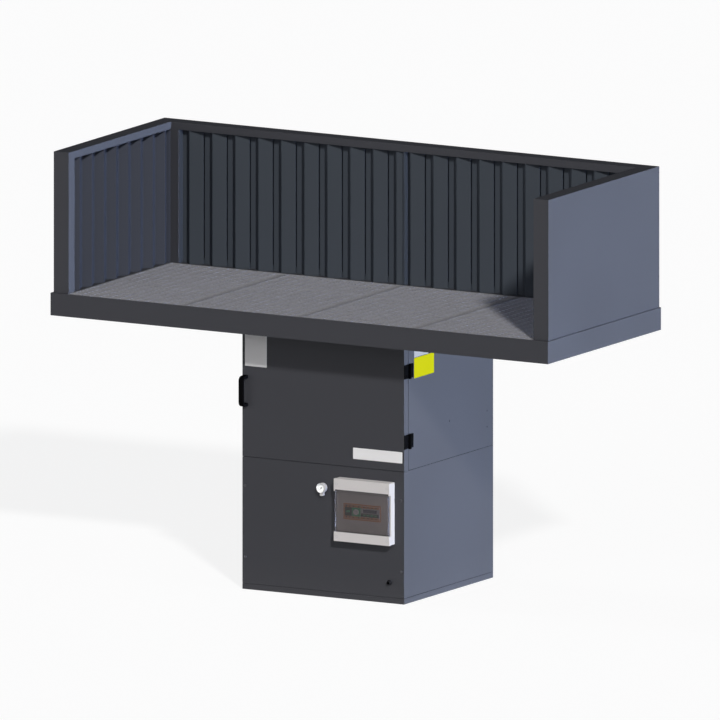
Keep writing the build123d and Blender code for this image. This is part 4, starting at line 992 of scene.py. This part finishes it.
@dataclass
class FilterSet:
    """The spark trap, tube sheet and four standing cartridges."""

    middle_y: float = 101.0
    spread: Pair = (140.0, 132.0)
    seat: float = 540.3
    cap: float = 9.0
    length: float = 290.0
    pleats: int = 84
    crest: float = 114.5
    root: float = 79.0
    wall: float = 2.0
    lobes: int = 8
    lobe_depth: float = 0.06

    def places(self) -> list[Pair]:
        """Gives the (x, y) place of each cartridge."""
        x, y = self.spread
        return [(sx * x, self.middle_y + sy * y) for sx in (-1, 1) for sy in (-1, 1)]

    def build(self) -> None:
        """Dresses the sheet metal and builds the cartridges."""
        dress(ZINC, "spark_trap", "tube_sheet")
        dress(STEEL, "filter_rods")
        self.media()
        self.caps()
        self.knobs()

    def media(self) -> None:
        """Folds the media: the radius jumps between crest and root at each fold, and the wall is inside."""
        fold = np.arange(2 * self.pleats)
        angle = 2 * np.pi * (fold / len(fold))
        outer = np.where(fold % 2 == 0, self.crest, self.root)
        low, high = self.seat + self.cap, self.seat + self.cap + self.length
        radius = np.stack([outer, outer, outer - self.wall, outer - self.wall])
        height = np.array([low, high, high, low])[:, None]
        skin = Skin()
        for place in self.places():
            skin.grid(rings(radius, angle, height) + (*place, 0.0), around=True, along=True)
        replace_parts(skin.piece("pleated_media", FELT, "cabinet", 20.0), "filter_media")

    def caps(self) -> None:
        """Makes the pressed end caps: closed rings with rolled rims."""
        skin = Skin()
        top = self.seat + self.cap + self.length
        foot = [(75, 0.6), (76, 0), (117, 0), (118.6, 1.5), (118.6, 7.5), (117, 9), (76, 9), (75, 8.4)]
        under = [(5.6, 3.4), (6, 3), (100, 3), (104, 0), (117, 0), (118.6, 1.5)]
        over = [(118.6, 7.5), (117, 9), (104, 9), (100, 6), (30, 6), (26, 9), (6, 9), (5.6, 8.6)]
        for place in self.places():
            self.ring(skin, foot, (*place, self.seat))
            self.ring(skin, under + over, (*place, top))
        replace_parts(skin.piece("end_caps", STEEL, "cabinet"), "filter_caps")

    def ring(self, skin: Skin, profile: Profile, origin: Triple, lobed: float = math.inf) -> None:
        """Adds a closed ring: a loop of (radius, height) pairs carried round the upright axis.

        Radii over the lobed one are multiplied by 1 + lobe depth * cos(lobes * angle).

        Args:
            skin: Skin that gets the ring.
            profile: Radius and height pairs in millimetres.
            origin: Place of the profile's foot on the axis.
            lobed: Radius over which the rim waves.
        """
        angle = np.linspace(0, 2 * np.pi, 64, endpoint=False)
        radius, height = np.array(profile, float).T[:, :, None]
        wave = np.where(radius > lobed, 1 + self.lobe_depth * np.cos(self.lobes * angle), 1.0)
        skin.grid(rings(radius * wave, angle, height) + origin, around=True, along=True)

    def knobs(self) -> None:
        """Makes the star knobs: a turned body whose rim waves once for each lobe."""
        skin = Skin()
        base = self.seat + 2 * self.cap + self.length + 0.3
        body = [(5.2, 0), (12, 0), (17, 2), (18.5, 4), (18.5, 9), (17.5, 11), (14, 12), (5.2, 12)]
        for place in self.places():
            self.ring(skin, body, (*place, base), lobed=15.0)
        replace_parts(skin.piece("star_knobs", BLACK_MOULDING, "cabinet"), "filter_knobs")


@dataclass
class FanSet:
    """The fan and its motor under the filters."""

    def build(self) -> None:
        """Dresses the fan, its plate and the motor."""
        dress(ZINC, "fan_plate", "inlet_cone", "impeller")
        dress(STEEL, "motor_shaft")
        dress(MOTOR_ENAMEL, "motor_body")
        # The stool is dressed black as painted shade: the rim lamp casts no shadow and would light it
        # through the grille.
        dress(BLACK_COAT, "motor_stool")


@dataclass
class Studio:
    """The floor, the lamps and the camera."""

    azimuth: float = 29.6
    elevation: float = 10.0
    width: float = 2.5169
    target: Triple = (12.95, 7.36, 804.9)
    distance: float = 9.0
    floor_rings: Triple = (500.0, 4000.0, 60000.0)
    floor_grey: float = 0.22
    floor_glow: float = 0.86
    pale: float = 0.93
    ceiling: Triple = (0.04, 0.045, 0.055)
    horizon: Pair = (-0.02, 0.06)

    def back(self) -> Vector:
        """Gives the unit vector from the target towards the camera."""
        a, e = math.radians(self.azimuth), math.radians(self.elevation)
        return Vector((math.sin(a) * math.cos(e), -math.cos(a) * math.cos(e), math.sin(e)))

    def build(self) -> None:
        """Sets the colour view, world, floor, lamps and camera."""
        bpy.context.scene.view_settings.view_transform = "Standard"
        self.world()
        self.floor()
        self.sun("key_lamp", (-0.578, 0.624, -0.526), 2.15, (1.0, 0.99, 0.98), 4.0)
        self.sun("front_lamp", (0.1, 0.99, 0.04), 1.1, (1.0, 0.98, 0.99), 80.0)
        self.sun("side_lamp", (-0.9997, 0.0221, -0.0135), 1.6, (0.84, 0.9, 1.0), 0.6)
        self.sun("rim_lamp", (-0.486, -0.856, 0.12), 1.5, (0.5, 0.63, 1.0), 12.0, False)
        self.sun("left_lamp", (0.998, 0.04, -0.04), 1.9, (0.97, 0.98, 1.0), 24.0)
        self.camera()

    def world(self) -> None:
        """Makes the world pale at the horizon and dim overhead, by the height of the ray's direction."""
        world = bpy.data.worlds.new("studio")
        bpy.context.scene.world = world
        world.use_nodes = True
        tree = world.node_tree
        where = new_node(tree, "TexCoord", {}).outputs["Generated"]
        slope = new_node(tree, "SeparateXYZ", {0: where}).outputs["Z"]
        span = {"Value": slope, "From Min": self.horizon[0], "From Max": self.horizon[1]}
        rise = new_node(tree, "MapRange", span, interpolation_type="SMOOTHSTEP")
        grey = (self.pale, self.pale, self.pale, 1.0)
        shade = mix_node(tree, rise.outputs[0], grey, (*self.ceiling, 1.0))
        feed(tree, tree.nodes["Background"], {"Color": shade})

    @staticmethod
    def seen(tree: Tree) -> Socket:
        """Tells the rays that see the floor from those that light by it.

        Args:
            tree: The floor material's node tree.

        Returns:
            Socket that is 1 for camera, glossy and transmission rays and 0 for the rest.
        """
        rays = new_node(tree, "LightPath", {})
        either = math_node(tree, "MAXIMUM", rays.outputs["Is Camera Ray"], rays.outputs["Is Glossy Ray"])
        return math_node(tree, "MAXIMUM", either, rays.outputs["Is Transmission Ray"])

    def floor(self) -> None:
        """Lays a pale round floor that glows for the eye and still takes the shadow."""
        angle = np.linspace(0, 2 * np.pi, 96, endpoint=False)
        reach = np.array(self.floor_rings)[:, None]
        skin = Skin()
        skin.grid(rings(reach, angle, 0 * reach), around=True)
        skin.faces.append(tuple(reversed(range(len(angle)))))
        mesh = skin.mesh("floor", 60.0)
        if mesh.polygons[0].normal.z < 0:
            mesh.flip_normals()
        floor = bpy.data.objects.new("floor", mesh)
        bpy.context.scene.collection.objects.link(floor)
        made = bpy.data.materials.new("pale floor")
        made.use_nodes = True
        tree = made.node_tree
        looks = {
            "Base Color": (*[self.floor_grey] * 3, 1.0),
            "Roughness": 0.9,
            "Specular IOR Level": 0.0,
            "Emission Color": (1.0, 1.0, 1.0, 1.0),
            "Emission Strength": math_node(tree, "MULTIPLY", self.seen(tree), self.floor_glow),
        }
        feed(tree, tree.nodes["Principled BSDF"], looks)
        mesh.materials.append(made)
        floor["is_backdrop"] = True

    @staticmethod
    def sun(name: str, way: Triple, power: float, colour: Triple, disc: float, shades: bool = True) -> None:
        """Adds a far lamp.

        Args:
            name: Its name.
            way: Direction that its light goes.
            power: Its strength.
            colour: Its colour.
            disc: Width of its disc in degrees, which softens its shadows.
            shades: Whether it casts shadows.
        """
        data = bpy.data.lights.new(name, "SUN")
        data.energy, data.color = power, colour
        data.angle, data.use_shadow = math.radians(disc), shades
        lamp = bpy.data.objects.new(name, data)
        lamp.rotation_mode = "QUATERNION"
        lamp.rotation_quaternion = Vector(way).to_track_quat("-Z", "Y")
        bpy.context.scene.collection.objects.link(lamp)

    def camera(self) -> None:
        """Places the parallel camera that looks as the photograph does."""
        data = bpy.data.cameras.new("camera")
        data.type, data.ortho_scale = "ORTHO", self.width
        data.clip_start, data.clip_end = 0.1, 100.0
        camera = bpy.data.objects.new("camera", data)
        camera.location = Vector(self.target) * MM + self.back() * self.distance
        camera.rotation_mode = "QUATERNION"
        camera.rotation_quaternion = (-self.back()).to_track_quat("-Z", "Y")
        bpy.context.scene.collection.objects.link(camera)
        bpy.context.scene.camera = camera


def main() -> None:
    """Loads the frame, builds every sub-assembly and notes the sizes."""
    logging.basicConfig(level=logging.INFO, format="%(message)s")
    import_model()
    cad_box = [list(corner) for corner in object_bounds()]
    for kind in (Worktop, SuctionWalls, Cabinet, FilterDoor, ControlBox, PressureGauge, FilterSet, FanSet):
        LOG.info("building %s", kind.__name__)
        kind().build()
    Studio().build()
    seen_box = [list(corner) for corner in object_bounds()]
    for low, high in (cad_box, seen_box):
        LOG.info("box %s to %s", np.round(low, 4), np.round(high, 4))


if __name__ == "__main__":
    main()
